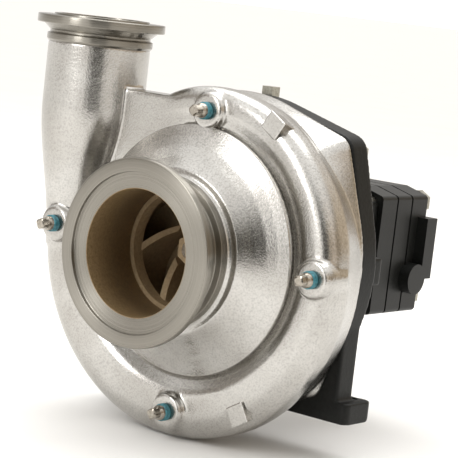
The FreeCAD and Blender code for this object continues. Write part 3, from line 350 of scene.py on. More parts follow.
def outlet_metal(sizes):
    """Discharge and pipe as one tube."""
    steps = 60
    heights = [OUTLET_FOOT + OUTLET_RISE * i / steps for i in range(steps + 1)]
    outside = [outlet_loop(z, sizes, 0.0) for z in heights]
    inside = [outlet_loop(z, sizes, PIPE_RADIUS - OUTLET_BORE) for z in heights]
    outside.append([(x, y, PIPE_TOP) for x, y, z in outside[-1]])
    inside.append([(x, y, PIPE_TOP) for x, y, z in inside[-1]])
    return skin(outside + list(reversed(inside)), closed=True)


def dome_metal():
    """Neck and dome with the step at its edge."""
    return turned([
        (37.6, -61.7, 0),
        (43.0, -61.7, 0),
        (43.0, -59.0, 3.6),
        (48.3, -58.2, 3.0),
        (55.0, -52.2, 25.0),
        (61.0, -48.2, 25.0),
        (67.0, -45.2, 25.0),
        (DOME_RADIUS - 0.4, -42.6, 0.4),
        (DOME_RADIUS, -42.0, 0.4),
        (DOME_RADIUS, -35.2, 0),
        (67.0, -35.2, 0),
        (67.0, -37.5, 0),
        (37.6, -47.5, 0),
    ], steps=9, around=360)


def base_ring():
    """Ring behind the step, as high as the smallest part of the scroll."""
    return turned([
        (CHAMBER_RADIUS, BASE_FRONT, 0),
        (91.0, BASE_FRONT, 7.0),
        (91.0, -24.0, 6.0),
        (84.0, FLANGE_FRONT, 0),
        (SEAT_RADIUS, FLANGE_FRONT, 0),
        (SEAT_RADIUS, SEAT_FRONT, 0),
        (CHAMBER_RADIUS, SEAT_FRONT, 0),
    ], around=360)


def ear_reach(angle, circle, ear_centre, ear):
    """Radius at a clock angle of a circle with four ears and their tangents."""
    step = 360.0 / EAR_COUNT
    off = math.radians(abs((angle + step / 2.0) % step - step / 2.0))
    lean = math.acos((circle - ear) / ear_centre)
    edge = math.atan2(ear * math.sin(lean), ear_centre + ear * math.cos(lean))
    if off >= lean:
        return circle
    if off >= edge:
        return circle / math.cos(lean - off)
    return ear_centre * math.cos(off) + math.sqrt(ear ** 2 - (ear_centre * math.sin(off)) ** 2)


def ear_loop(circle, ear_centre, ear, y):
    """Closed loop of a circle with four ears, which start at the first ear's middle."""
    return [clock(EAR_ANGLE + 360.0 * i / EAR_STEPS,
                  ear_reach(360.0 * i / EAR_STEPS, circle, ear_centre, ear), y)
            for i in range(EAR_STEPS)]


def flange_metal():
    """Rear flange with four ears and the flare that runs up to it."""
    # The inner loops are as good as circles: their ears stand out by 0.1 mm.
    return skin([
        ear_loop(SEAT_RADIUS, 80.0, 0.2, FLARE_FRONT),
        ear_loop(91.0, 82.0, 9.5, FLARE_FRONT),
        ear_loop(FLANGE_RADIUS, 94.0, 11.0, FLANGE_FRONT),
        ear_loop(FLANGE_RADIUS, 94.0, 11.0, 0.0),
        ear_loop(SEAT_RADIUS, 80.0, 0.2, 0.0),
    ], closed=True)


def web_metal():
    """Flat web between the dome and the discharge."""
    return block(-65.0, -16.0, BASE_FRONT, -20.5, 38.0, 87.0)


# Bosses as (clock angle, radius, face, turn of the plug's square).
BOSSES = ((2.0, 82.1, -43.3, 45.0), (90.4, 91.5, -46.2, 12.0), (178.2, 94.9, -51.0, 35.0),
          (270.4, 95.5, -54.8, 25.0))
# Pads as (clock angle, radius, face, back), with half their width and the draft of their side.
PADS = ((32.2, 94.6, -42.3, -26.0), (149.0, 100.7, -46.5, -24.0), (270.0, 111.5, -38.0, -25.0))
PAD_HALF = 6.25
PAD_DRAFT = 5.0
PAD_EDGE = 0.7


def boss_metal():
    """Round bosses on the scroll, a little narrower at the face."""
    made = []
    for angle, radius, face, turn in BOSSES:
        x, y, z = clock(angle, radius)
        loops = []
        for level, reach in ((-26.0, 11.8), (face + 5.0, 11.8), (face + 0.5, 10.4), (face, 9.9)):
            loops.append([(x + reach * math.cos(t * math.pi / 24), level,
                           z + reach * math.sin(t * math.pi / 24)) for t in range(48)])
        made.append(skin(loops))
    return made


def pad_metal():
    """Square pads with a flat face, drafted back to the shoulder of the scroll."""
    half = PAD_HALF
    made = []
    for angle, radius, face, back in PADS:
        loops = []
        for level, reach in ((face, radius + half), (back, radius + half - PAD_DRAFT)):
            loops.append([clock(angle + math.degrees(math.atan2(x, r)), math.hypot(x, r), level)
                          for x, r in ((-half, radius - half), (half, radius - half),
                                       (half, reach), (-half, reach))])
        made.append(skin(loops))
    return made


# Finishes

def linear(code):
    """Linear colour with alpha from an sRGB hex code."""
    values = [int(code[i:i + 2], 16) / 255.0 for i in (1, 3, 5)]
    return tuple(v / 12.92 if v <= 0.04045 else ((v + 0.055) / 1.055) ** 2.4
                 for v in values) + (1.0,)


def add(tree, kind, settings=None, links=None):
    """Adds a node, sets its properties and inputs, and links its inputs."""
    node = tree.nodes.new(kind)
    for key, value in (settings or {}).items():
        if isinstance(key, str) and hasattr(node, key) and key not in node.inputs:
            setattr(node, key, value)
        else:
            node.inputs[key].default_value = value
    for key, source in (links or {}).items():
        tree.links.new(source, node.inputs[key])
    return node


def finish_base(name):
    """New material with its shader, output and object coordinates."""
    made = bpy.data.materials.new(name)
    made.use_nodes = True
    tree = made.node_tree
    tree.nodes.clear()
    output = tree.nodes.new("ShaderNodeOutputMaterial")
    shader = tree.nodes.new("ShaderNodeBsdfPrincipled")
    tree.links.new(shader.outputs["BSDF"], output.inputs["Surface"])
    place = tree.nodes.new("ShaderNodeTexCoord").outputs["Object"]
    return made, tree, shader, place


def ramp(tree, source, codes, ends=(0.0, 1.0)):
    """Colour output that goes from one hex code to another between two values of a source."""
    node = add(tree, "ShaderNodeValToRGB", {}, {"Fac": source})
    for stop, code, place in zip(node.color_ramp.elements, codes, ends):
        stop.position = place
        stop.color = linear(code)
    return node.outputs["Color"]


def blasted_stainless():
    """Cast stainless, bead blasted and electropolished: bright, with a fine pebbled skin."""
    made, tree, shader, place = finish_base("blasted_cast_stainless")
    shader.inputs["Metallic"].default_value = 1.0
    # The skin's pebbles are about 0.5 mm on the part and drawn at 1 mm so that they show.
    pebble = add(tree, "ShaderNodeTexNoise", {"Scale": 900.0, "Detail": 3.0, "Roughness": 0.62},
                 {"Vector": place})
    swell = add(tree, "ShaderNodeTexNoise", {"Scale": 220.0, "Detail": 2.0}, {"Vector": place})
    tone = add(tree, "ShaderNodeTexNoise", {"Scale": 30.0, "Detail": 4.0}, {"Vector": place})
    colour = ramp(tree, tone.outputs["Fac"], ("#b6b3ae", "#c8c6c2"), (0.35, 0.65))
    pits = add(tree, "ShaderNodeMapRange",
               {"From Min": 0.35, "From Max": 0.55, "To Min": 0.78, "To Max": 1.0},
               {"Value": pebble.outputs["Fac"]})
    worn = add(tree, "ShaderNodeVectorMath", {"operation": "SCALE"},
               {0: colour, "Scale": pits.outputs["Result"]})
    tree.links.new(worn.outputs[0], shader.inputs["Base Color"])
    rough = add(tree, "ShaderNodeMapRange", {"To Min": 0.14, "To Max": 0.3},
                {"Value": pebble.outputs["Fac"]})
    tree.links.new(rough.outputs["Result"], shader.inputs["Roughness"])
    low = add(tree, "ShaderNodeBump", {"Strength": 0.12, "Distance": 0.0006},
              {"Height": swell.outputs["Fac"]})
    high = add(tree, "ShaderNodeBump", {"Strength": 0.5, "Distance": 0.0002},
               {"Height": pebble.outputs["Fac"], "Normal": low.outputs["Normal"]})
    tree.links.new(high.outputs["Normal"], shader.inputs["Normal"])
    return made


def turned_stainless(name, centre, upright=False):
    """Stainless turned on a lathe: fine rings about the axis and a lengthened highlight."""
    made, tree, shader, place = finish_base(name)
    shader.inputs["Metallic"].default_value = 1.0
    shader.inputs["Anisotropic"].default_value = 0.9
    shader.inputs["Anisotropic Rotation"].default_value = 0.25
    shifted = add(tree, "ShaderNodeVectorMath", {"operation": "SUBTRACT", 1: centre}, {0: place})
    flat = add(tree, "ShaderNodeVectorMath",
               {"operation": "MULTIPLY", 1: (1, 1, 0) if upright else (1, 0, 1)},
               {0: shifted.outputs[0]})
    reach = add(tree, "ShaderNodeVectorMath", {"operation": "LENGTH"}, {0: flat.outputs[0]})
    split = add(tree, "ShaderNodeSeparateXYZ", {}, {0: place})
    # Tool marks are about 0.15 mm apart on the part and drawn at 0.3 mm so that they show.
    height = split.outputs["Z" if upright else "Y"]
    where = add(tree, "ShaderNodeCombineXYZ", {}, {"X": reach.outputs["Value"], "Y": height})
    marks = add(tree, "ShaderNodeTexNoise", {"Scale": 3200.0, "Detail": 2.0},
                {"Vector": where.outputs[0]})
    shade = ramp(tree, marks.outputs["Fac"], ("#7a766e", "#9e9a92"))
    tree.links.new(shade, shader.inputs["Base Color"])
    rough = add(tree, "ShaderNodeMapRange", {"To Min": 0.22, "To Max": 0.36},
                {"Value": marks.outputs["Fac"]})
    tree.links.new(rough.outputs["Result"], shader.inputs["Roughness"])
    tangent = add(tree, "ShaderNodeTangent", {"direction_type": "RADIAL",
                                              "axis": "Z" if upright else "Y"})
    tree.links.new(tangent.outputs[0], shader.inputs["Tangent"])
    bump = add(tree, "ShaderNodeBump", {"Strength": 0.08, "Distance": 0.0001},
               {"Height": marks.outputs["Fac"]})
    tree.links.new(bump.outputs["Normal"], shader.inputs["Normal"])
    return made


def grained(name, codes, metallic, rough, scale, bump, distance, gloss=0.5):
    """Finish with a two-tone grain of a real size in its colour, roughness and height."""
    made, tree, shader, place = finish_base(name)
    shader.inputs["Metallic"].default_value = metallic
    shader.inputs["Specular IOR Level"].default_value = gloss
    grain = add(tree, "ShaderNodeTexNoise", {"Scale": scale, "Detail": 4.0, "Roughness": 0.6},
                {"Vector": place})
    colour = ramp(tree, grain.outputs["Fac"], codes, (0.3, 0.7))
    tree.links.new(colour, shader.inputs["Base Color"])
    spread = add(tree, "ShaderNodeMapRange", {"To Min": rough[0], "To Max": rough[1]},
                 {"Value": grain.outputs["Fac"]})
    tree.links.new(spread.outputs["Result"], shader.inputs["Roughness"])
    relief = add(tree, "ShaderNodeBump", {"Strength": bump, "Distance": distance},
                 {"Height": grain.outputs["Fac"]})
    tree.links.new(relief.outputs["Normal"], shader.inputs["Normal"])
    return made


def finishes():
    """Every finish of the pump by name, made once."""
    if "blasted_cast_stainless" in bpy.data.materials:
        return bpy.data.materials
    blasted_stainless()
    shaft_centre = (0.0, 0.0, SHAFT_HEIGHT / 1000.0)
    outlet_centre = tuple(spot(OUTLET[0], OUTLET[1], 0.0))
    turned_stainless("turned_stainless_inlet", shaft_centre)
    turned_stainless("turned_stainless_outlet", outlet_centre, True)
    # Satin two-pack paint over grey cast iron: the sand skin shows through as a soft pebble.
    grained("satin_black_paint_on_iron", ("#0c0d0c", "#171816"), 0.0, (0.36, 0.5), 500.0, 0.35,
            0.0004, 0.2)
    # Satin paint over extruded and machined plates: a finer, flatter skin.
    grained("satin_black_paint_on_plate", ("#111211", "#1c1d1b"), 0.0, (0.34, 0.46), 700.0, 0.2,
            0.0002, 0.3)
    # Bored inside of the casting, painted a warm brown: painted shade that stands in for the shade
    # inside the bore.
    grained("bore_painted_shade_stainless", ("#7c6749", "#9b8461"), 0.4, (0.35, 0.5), 700.0, 0.25, 0.0002)
    # Impeller casting, dull, and painted a warm brown: painted shade that stands in for the shade
    # inside the bore.
    grained("impeller_painted_shade_stainless", ("#8a7558", "#a58f6e"), 0.2, (0.5, 0.65), 500.0, 0.3, 0.0003)
    # Investment-cast stainless plug, barrel polished.
    grained("polished_cast_stainless", ("#8c857a", "#b8b2a8"), 1.0, (0.16, 0.32), 600.0, 0.2,
            0.0002)
    # Anaerobic thread sealant, cured to a soft satin teal.
    grained("cured_thread_sealant", ("#18535f", "#4a929e"), 0.0, (0.3, 0.45), 800.0, 0.3, 0.0002)
    # Zinc plate over cold-headed steel.
    grained("zinc_plated_steel", ("#8d8a80", "#b5b2a6"), 1.0, (0.3, 0.45), 700.0, 0.15, 0.0001)
    # Moulded nitrile rubber.
    grained("moulded_nitrile", ("#171717", "#222222"), 0.0, (0.5, 0.7), 500.0, 0.2, 0.0002)
    # Lapped alumina seal ring.
    grained("lapped_alumina", ("#e2dccf", "#ece8de"), 0.0, (0.2, 0.3), 300.0, 0.05, 0.0001)
    # Lapped carbon graphite seal face.
    grained("lapped_carbon", ("#1d1d1e", "#2b2b2d"), 0.0, (0.3, 0.4), 400.0, 0.05, 0.0001)
    # Ground bearing and gear steel.
    grained("ground_steel", ("#a2a2a0", "#bcbcba"), 1.0, (0.18, 0.3), 900.0, 0.08, 0.0001)
    # Phosphated spring steel.
    grained("phosphated_steel", ("#2f2f2e", "#454543"), 0.6, (0.45, 0.6), 700.0, 0.2, 0.0002)
    # Turned tin bronze.
    grained("turned_bronze", ("#8c6a3c", "#a9834e"), 1.0, (0.25, 0.4), 500.0, 0.1, 0.0001)
    return bpy.data.materials


def dress(node, finish, bevel=0.0):
    """Gives a CAD node its finish and, where asked, broken edges of a size in millimetres."""
    made = frame["nodes"][node]
    made.data.materials.clear()
    made.data.materials.append(finishes()[finish])
    if bevel > 0.0:
        edge = made.modifiers.new("broken edges", "BEVEL")
        edge.width = bevel / 1000.0
        edge.segments = 2
        edge.limit_method = "ANGLE"
        edge.angle_limit = SHARP_ANGLE
        edge.harden_normals = False
    return made


# Operators

class PUMP_OT_casting(bpy.types.Operator):
    """Builds the cast casing with its scroll, outlet, web, bosses and rear flange"""
    bl_idname = "pump.casting"
    bl_label = "Cast casing"

    def execute(self, context):
        sizes = context.scene.pump_casting
        parts = [base_ring(), scroll_metal(sizes), outlet_metal(sizes), flange_metal(),
                 web_metal()] + boss_metal()
        made = piece("cast_casing", parts, finishes()["blasted_cast_stainless"])
        settle(made, sizes.voxel, sizes.soften)
        apply_modifiers(made)
        made.data.materials.clear()
        made.data.materials.append(finishes()["blasted_cast_stainless"])
        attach(made, "pump")
        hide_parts("volute_casing")
        return {"FINISHED"}


class PUMP_OT_dome(bpy.types.Operator):
    """Builds the neck and dome with the crisp step at its edge, and the bore behind the inlet"""
    bl_idname = "pump.dome"
    bl_label = "Dome and bore"

    def execute(self, context):
        sizes = context.scene.pump_flanges
        made = piece("cast_dome", [dome_metal()], finishes()["blasted_cast_stainless"])
        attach(made, "pump")
        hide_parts("inlet_dome")
        bore = sizes.inlet_bore
        # A thin lining over the bore wall carries the bore's painted shade, a warm brown that
        # stands in for the shade inside the bore.
        lining = turned([
            (bore - 0.05, -89.6, 0.2),
            (bore + 0.6, -89.6, 0.2),
            (bore + 0.6, -51.4, 0),
            (bore - 0.05, -51.4, 0),
        ], steps=3, around=256)
        inside = piece("bore_painted_shade_lining", [lining], finishes()["bore_painted_shade_stainless"])
        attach(inside, "pump")
        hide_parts("inlet_dome")
        return {"FINISHED"}


class PUMP_OT_pads(bpy.types.Operator):
    """Builds the square casting pads on the scroll"""
    bl_idname = "pump.pads"
    bl_label = "Casting pads"

    def execute(self, context):
        made = piece("casting_pads", pad_metal(), finishes()["blasted_cast_stainless"], False)
        edge = made.modifiers.new("cast edges", "BEVEL")
        edge.width = PAD_EDGE / 1000.0
        edge.segments = 3
        apply_modifiers(made)
        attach(made, "pump")
        return {"FINISHED"}


class PUMP_OT_inlet_flange(bpy.types.Operator):
    """Builds the turned clamp flange of the inlet with its recess, rim, groove and collar"""
    bl_idname = "pump.inlet_flange"
    bl_label = "Inlet flange"

    def execute(self, context):
        sizes = context.scene.pump_flanges
        bore = sizes.inlet_bore
        rim = sizes.inlet_rim
        ring = turned([
            (bore + 0.3, -89.7, 0.1),
            (bore + 9.5, -89.7, 0.5),
            (bore + 9.5, INLET_FACE, 0.4),
            (rim, INLET_FACE, 0.9),
            (rim, -87.4, 0.6),
            (bore + 4.5, -80.0, 3.0),
            (bore + 4.5, -68.3, 0.8),
            (bore + 8.1, -67.5, 0.4),
            (bore + 8.1, -61.5, 0.8),
            (bore + 0.6, -61.5, 0),
        ], steps=5, around=256)
        made = piece("turned_inlet_flange", [ring], finishes()["turned_stainless_inlet"])
        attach(made, "pump")
        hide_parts("inlet_dome")
        return {"FINISHED"}


class PUMP_OT_outlet_flange(bpy.types.Operator):
    """Builds the turned clamp flange on top of the outlet pipe"""
    bl_idname = "pump.outlet_flange"
    bl_label = "Outlet flange"

    def execute(self, context):
        sizes = context.scene.pump_flanges
        bore = sizes.outlet_bore
        rim = sizes.outlet_rim
        ring = turned([
            (bore - 0.1, 110.0, 0),
            (PIPE_RADIUS, 110.0, 0),
            (PIPE_RADIUS + 1.2, 111.4, 0.4),
            (PIPE_RADIUS + 1.2, 114.8, 0.5),
            (bore + 5.2, 115.6, 0.4),
            (bore + 5.2, 116.8, 0.6),
            (rim - 4.0, 120.8, 0.6),
            (rim, 120.8, 0.6),
            (rim, 126.0, 0.7),
            (bore + 3.6, 126.0, 0.2),
            (bore + 3.6, 127.2, 0.4),
            (bore - 0.1, 127.2, 0.4),
        ], OUTLET, True, steps=5, around=220)
        made = piece("turned_outlet_flange", [ring], finishes()["turned_stainless_outlet"])
        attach(made, "pump")
        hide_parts("outlet_pipe")
        return {"FINISHED"}


class PUMP_OT_plugs(bpy.types.Operator):
    """Builds the cast square-head plugs with the bare end of their thread"""
    bl_idname = "pump.plugs"
    bl_label = "Casing plugs"

    def execute(self, context):
        # Rings along the plug as (distance out from the boss, half width, corner rounding).
        rings = ((12.3, 2.3, 1.9), (11.7, 2.95, 1.8), (7.4, 3.1, 1.8), (7.0, 3.3, 3.2),
                 (6.2, 4.0, 3.95), (5.2, 4.4, 4.35), (-1.5, 4.3, 4.25))
        parts = []
        for angle, radius, face, turn in BOSSES:
            x, y, z = clock(angle, radius)
            cos, sin = math.cos(math.radians(turn)), math.sin(math.radians(turn))
            loops = []
            for out, half, rounding in rings:
                square = outline([(-half, -half, rounding), (half, -half, rounding),
                                  (half, half, rounding), (-half, half, rounding)], 8)
                loops.append([(x + p.x * cos - p.y * sin, face - out, z + p.x * sin + p.y * cos)
                              for p in square])
            parts.append(skin(loops))
        made = piece("casing_plug_castings", parts, finishes()["polished_cast_stainless"])
        made.data.set_sharp_from_angle(angle=SHARP_ANGLE)
        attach(made, "pump")
        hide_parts("casing_plugs")
        return {"FINISHED"}


class PUMP_OT_sealant(bpy.types.Operator):
    """Builds the sealant that fills the threads under each plug"""
    bl_idname = "pump.sealant"
    bl_label = "Thread sealant"

    def execute(self, context):
        parts = []
        around, steps = 48, 36
        front, length = 4.1, 4.2
        radius_mean, ridge_height, pitch = 4.85, 0.28, 1.3
        # The sealant narrows over its front, from this distance out from the boss.
        narrow_from, narrow_slope = 3.5, 0.5
        for angle, radius, face, square_turn in BOSSES:
            x, y, z = clock(angle, radius)
            loops = []
            for i in range(steps + 1):
                level = face - front + length * i / steps
                loop = []
                for k in range(around):
                    turn = 2.0 * math.pi * k / around
                    ridge = ridge_height * math.cos(2.0 * math.pi * (level / pitch - k / around))
                    narrow = narrow_slope * max(0.0, face - narrow_from - level)
                    reach = radius_mean + ridge - narrow
                    loop.append((x + reach * math.cos(turn), level, z + reach * math.sin(turn)))
                loops.append(loop)
            parts.append(skin(loops))
        made = piece("thread_sealant", parts, finishes()["cured_thread_sealant"])
        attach(made, "pump")
        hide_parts("casing_plug_seals")
        return {"FINISHED"}


class PUMP_OT_frame(bpy.types.Operator):
    """Softens the mounting frame, its ribs and the bearing housing as painted iron castings"""
    bl_idname = "pump.frame"
    bl_label = "Mounting frame"

    def execute(self, context):
        for node, voxel, passes in (("mounting_frame", 1.0, 5), ("bearing_housing", 1.1, 5),
                                    ("frame_ribs", 0.9, 5)):
            made = dress(node, "satin_black_paint_on_iron")
            settle(made, voxel, passes)
        return {"FINISHED"}


class PUMP_OT_motor(bpy.types.Operator):
    """Breaks the edges of the motor's plates and paints them"""
    bl_idname = "pump.motor"
    bl_label = "Gear motor"

    def execute(self, context):
        for node in ("motor_front_plate", "motor_gear_plate", "motor_rear_cover"):
            dress(node, "satin_black_paint_on_plate", 0.7)
        return {"FINISHED"}


class PUMP_OT_fittings(bpy.types.Operator):
    """Finishes the plugs, bolts, washers and screws"""
    bl_idname = "pump.fittings"
    bl_label = "Plugs and bolts"

    def execute(self, context):
        dress("frame_plug", "zinc_plated_steel", 0.5)
        for node in ("casing_bolts", "motor_bolts", "bypass_locknut"):
            dress(node, "zinc_plated_steel", 0.4)
        for node in ("casing_lock_washers", "motor_washers", "bypass_screw"):
            dress(node, "zinc_plated_steel", 0.2)
        return {"FINISHED"}


class PUMP_OT_running_gear(bpy.types.Operator):
    """Finishes the impeller, shaft, seal, bearings and gears"""
    bl_idname = "pump.running_gear"
    bl_label = "Running gear"

    def execute(self, context):
        # The impeller, its washer and its nut carry painted shade: a warm brown that stands in for
        # the shade inside the bore.
        for node in ("impeller", "impeller_washer", "impeller_nut"):
            dress(node, "impeller_painted_shade_stainless")
        dress("seal_plate", "blasted_cast_stainless")
        for node in ("impeller_key", "pump_shaft", "seal_spring", "bearing_spacer"):
            dress(node, "polished_cast_stainless", 0.2)
        for node in ("casing_gasket", "seal_seat_cup", "seal_bellows", "slinger", "motor_seals",
                     "motor_shaft_seal"):
            dress(node, "moulded_nitrile")
        dress("seal_seat", "lapped_alumina")
        dress("seal_face", "lapped_carbon")
        for node in ("bearing_outer_races", "bearing_inner_races", "motor_dowels", "drive_gear",
                     "drive_gear_key", "idler_gear", "idler_shaft"):
            dress(node, "ground_steel")
        for node in ("bearing_snap_ring", "shaft_snap_ring"):
            dress(node, "phosphated_steel")
        dress("gear_bushes", "turned_bronze")
        return {"FINISHED"}


def area_light(name, where, towards, size, power):
    """White softbox that faces a point."""
    light = bpy.data.lights.new(name, "AREA")
    light.shape = "RECTANGLE"
    light.size, light.size_y = size
    light.energy = power
    made = bpy.data.objects.new(name, light)
    made.location = where
    made.rotation_euler = (Vector(towards) - Vector(where)).to_track_quat("-Z", "Y").to_euler()
    bpy.context.scene.collection.objects.link(made)


# The photograph's side in pixels, and in it the fitted focal length and the inlet face's middle.
PICTURE = 458.0
FOCAL = 1899.0
INLET_SEEN = (132.1, 253.4)
SENSOR = 36.0

# Tones of the studio's walls by azimuth in degrees, 0 in front of the inlet and 90 to its
# right: a tall softbox in front, dark flags beside the camera and warm board to the right.
ROOM_WALLS = (
    (-180.0, "#8a8074"), (-125.0, "#bdbcba"), (-100.0, "#bdbcba"), (-80.0, "#8f8a84"),
    (-40.0, "#878079"), (-30.0, "#f2f0ed"), (15.0, "#f2f0ed"), (21.0, "#62605a"),
    (50.0, "#62605a"), (60.0, "#948877"), (98.0, "#bcae9e"), (112.0, "#8a7c69"),
    (135.0, "#8a7c69"), (160.0, "#c0b09a"), (179.9, "#8a8074"),
)
ROOM_CEILING = "#e9e8e6"
ROOM_BRIGHTNESS = 1.72


class PUMP_OT_stage(bpy.types.Operator):
    """Sets the floor, the lights and the camera of the photograph"""
    bl_idname = "pump.stage"
    bl_label = "Stage"

    def execute(self, context):
        sizes = context.scene.pump_stage
        self.camera(context, sizes)
        self.floor(sizes)
        self.flag()
        self.lights(context)
        return {"FINISHED"}

    def camera(self, context, sizes):
        """Camera fitted to the photograph, aimed so that its picture needs no shift."""
        azimuth, elevation = sizes.azimuth, sizes.elevation
        back = Vector((math.sin(azimuth) * math.cos(elevation),
                       -math.cos(azimuth) * math.cos(elevation), math.sin(elevation)))
        right = Vector((math.cos(azimuth), math.sin(azimuth), 0.0))
        up = back.cross(right)
        across = PICTURE / 2.0 - INLET_SEEN[0]
        above = INLET_SEEN[1] - PICTURE / 2.0
        cos, sin = math.cos(sizes.roll), math.sin(sizes.roll)
        u = cos * across - sin * above
        v = cos * above + sin * across
        forward = (-back * FOCAL + right * u + up * v).normalized()
        top = -sin * right + cos * up
        top = (top - forward * top.dot(forward)).normalized()
        side = forward.cross(top)
        data = bpy.data.cameras.new("camera")
        data.sensor_width = SENSOR
        data.lens = SENSOR * FOCAL / PICTURE
        data.clip_start = 0.01
        data.clip_end = 200.0
        made = bpy.data.objects.new("camera", data)
        turn = Matrix((side, top, -forward)).transposed()
        where = spot(0, INLET_FACE, 0) + back * sizes.distance
        made.matrix_world = Matrix.Translation(where) @ turn.to_4x4()
        context.scene.collection.objects.link(made)
        context.scene.camera = made

    def floor(self, sizes):
        """Pale board under the scroll's lowest point, wide enough to have no edge in view."""
        made, tree, shader, place = finish_base("matte_studio_board")
        # Painted board: flat and pale with a faint unevenness of a few centimetres.
        tone = add(tree, "ShaderNodeTexNoise", {"Scale": 12.0, "Detail": 2.0}, {"Vector": place})
        shade = ramp(tree, tone.outputs["Fac"], ("#eeedeb", sizes.floor_colour))
        tree.links.new(shade, shader.inputs["Base Color"])
        shader.inputs["Roughness"].default_value = 0.9
        low = cad_box[0][2]
        mesh = bpy.data.meshes.new("floor")
        reach = 60.0
        mesh.from_pydata([(-reach, -reach, low), (reach, -reach, low), (reach, reach, low),
                          (-reach, reach, low)], [], [(0, 1, 2, 3)])
        board = bpy.data.objects.new("floor", mesh)
        mesh.materials.append(made)
        bpy.context.scene.collection.objects.link(board)

    def flag(self):
        """Dark cloth flag beside the camera, seen only in the metal."""
        made, tree, shader, place = finish_base("black_felt_flag")
        # Felt: matte, with a nap of about 1 mm.
        nap = add(tree, "ShaderNodeTexNoise", {"Scale": 900.0}, {"Vector": place})
        shade = ramp(tree, nap.outputs["Fac"], ("#3a3936", "#45443f"))
        tree.links.new(shade, shader.inputs["Base Color"])
        shader.inputs["Roughness"].default_value = 1.0
        low = cad_box[0][2] + 0.002
        distance, height = 1.35, 0.55
        points = []
        for angle in (19.0, 30.0, 41.0, 52.0):
            x = distance * math.sin(math.radians(angle))
            y = -distance * math.cos(math.radians(angle))
            points += [(x, y, low), (x, y, low + height)]
        mesh = bpy.data.meshes.new("flag")
        mesh.from_pydata(points, [], [(i, i + 1, i + 3, i + 2) for i in (0, 2, 4)])
        mesh.materials.append(made)
        cloth = bpy.data.objects.new("flag", mesh)
        cloth.visible_camera = False
        cloth.visible_shadow = False
        bpy.context.scene.collection.objects.link(cloth)

    def lights(self, context):
        """Two softboxes and a room whose tone changes with the direction."""
        context.scene.view_settings.view_transform = "Standard"
        aim = (0.0, -0.03, 0.09)
        area_light("softbox_top", (-0.2, 0.45, 1.5), aim, (1.4, 1.2), 13.0)
        area_light("softbox_front", (-0.24, -1.2, 0.66), aim, (0.36, 0.7), 5.0)
        world = bpy.data.worlds.new("studio")
        context.scene.world = world
        world.use_nodes = True
        tree = world.node_tree
        tree.nodes.clear()
        output = tree.nodes.new("ShaderNodeOutputWorld")
        room = tree.nodes.new("ShaderNodeTexCoord")
        split = add(tree, "ShaderNodeSeparateXYZ", {}, {0: room.outputs["Generated"]})
        front = add(tree, "ShaderNodeMath", {"operation": "MULTIPLY", 1: -1.0},
                    {0: split.outputs["Y"]})
        turn = add(tree, "ShaderNodeMath", {"operation": "ARCTAN2"},
                   {0: split.outputs["X"], 1: front.outputs[0]})
        share = add(tree, "ShaderNodeMapRange", {"From Min": -math.pi, "From Max": math.pi},
                    {"Value": turn.outputs[0]})
        walls = add(tree, "ShaderNodeValToRGB", {}, {"Fac": share.outputs["Result"]})
        stops = walls.color_ramp.elements
        for i, (angle, code) in enumerate(ROOM_WALLS):
            stop = stops[i] if i < 2 else stops.new(0.999)
            stop.position = (angle + 180.0) / 360.0
            stop.color = linear(code)
        # The walls turn pale just over the horizon and again towards the ceiling.
        low = add(tree, "ShaderNodeMapRange", {"From Min": 0.06, "From Max": 0.03},
                  {"Value": split.outputs["Z"]})
        sweep = add(tree, "ShaderNodeMix", {"data_type": "RGBA", 7: linear(ROOM_CEILING)},
                    {0: low.outputs["Result"], 6: walls.outputs["Color"]})
        high = add(tree, "ShaderNodeMapRange", {"From Min": 0.35, "From Max": 0.75},
                   {"Value": split.outputs["Z"]})
        ceiling = add(tree, "ShaderNodeMix", {"data_type": "RGBA", 7: linear(ROOM_CEILING)},
                      {0: high.outputs["Result"], 6: sweep.outputs[2]})
        # Behind the pump the picture shows the plain ceiling tone, whatever the wall's tone is.
        ray = tree.nodes.new("ShaderNodeLightPath")
        backdrop = add(tree, "ShaderNodeMix", {"data_type": "RGBA", 7: linear(ROOM_CEILING)},
                       {0: ray.outputs["Is Camera Ray"], 6: ceiling.outputs[2]})
        light = add(tree, "ShaderNodeBackground", {"Strength": ROOM_BRIGHTNESS},
                    {"Color": backdrop.outputs[2]})
        tree.links.new(light.outputs[0], output.inputs["Surface"])


class PUMP_PT_panel(bpy.types.Panel):
    """Lists the pump's sizes and its operators in the sidebar"""
    bl_label = "Volute pump"
    bl_idname = "PUMP_PT_panel"
    bl_space_type = "VIEW_3D"
    bl_region_type = "UI"
    bl_category = "Pump"

    def draw(self, context):
        scene = context.scene
        for sizes in (scene.pump_casting, scene.pump_flanges, scene.pump_stage):
            box = self.layout.box()
            for name in sizes.__annotations__:
                box.prop(sizes, name)
        for operator in OPERATORS:
            self.layout.operator(operator.bl_idname)


GROUPS = (CastingSizes, FlangeSizes, StageSizes)
OPERATORS = (PUMP_OT_stage, PUMP_OT_casting, PUMP_OT_dome, PUMP_OT_pads,
             PUMP_OT_inlet_flange, PUMP_OT_outlet_flange, PUMP_OT_plugs, PUMP_OT_sealant,
             PUMP_OT_frame, PUMP_OT_motor, PUMP_OT_fittings, PUMP_OT_running_gear)


def register():
    for kind in GROUPS + OPERATORS + (PUMP_PT_panel,):
        bpy.utils.register_class(kind)
    bpy.types.Scene.pump_casting = bpy.props.PointerProperty(type=CastingSizes)
    bpy.types.Scene.pump_flanges = bpy.props.PointerProperty(type=FlangeSizes)
    bpy.types.Scene.pump_stage = bpy.props.PointerProperty(type=StageSizes)


def unregister():
    del bpy.types.Scene.pump_stage
    del bpy.types.Scene.pump_flanges
    del bpy.types.Scene.pump_casting
    for kind in reversed(GROUPS + OPERATORS + (PUMP_PT_panel,)):
        bpy.utils.unregister_class(kind)


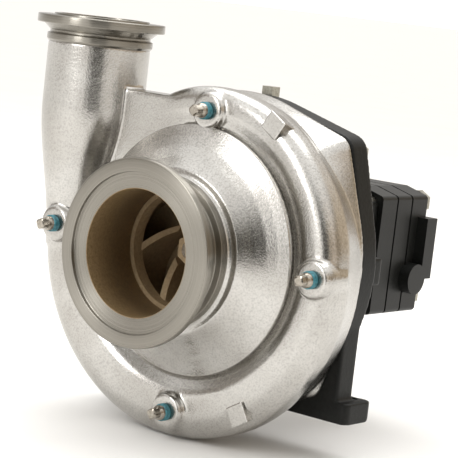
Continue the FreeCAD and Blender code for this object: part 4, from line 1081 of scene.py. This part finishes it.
def main():
    register()
    bpy.ops.pump.stage()
    bpy.ops.pump.casting()
    bpy.ops.pump.dome()
    bpy.ops.pump.pads()
    bpy.ops.pump.inlet_flange()
    bpy.ops.pump.outlet_flange()
    bpy.ops.pump.plugs()
    bpy.ops.pump.sealant()
    bpy.ops.pump.frame()
    bpy.ops.pump.motor()
    bpy.ops.pump.fittings()
    bpy.ops.pump.running_gear()


if __name__ == "__main__":
    main()
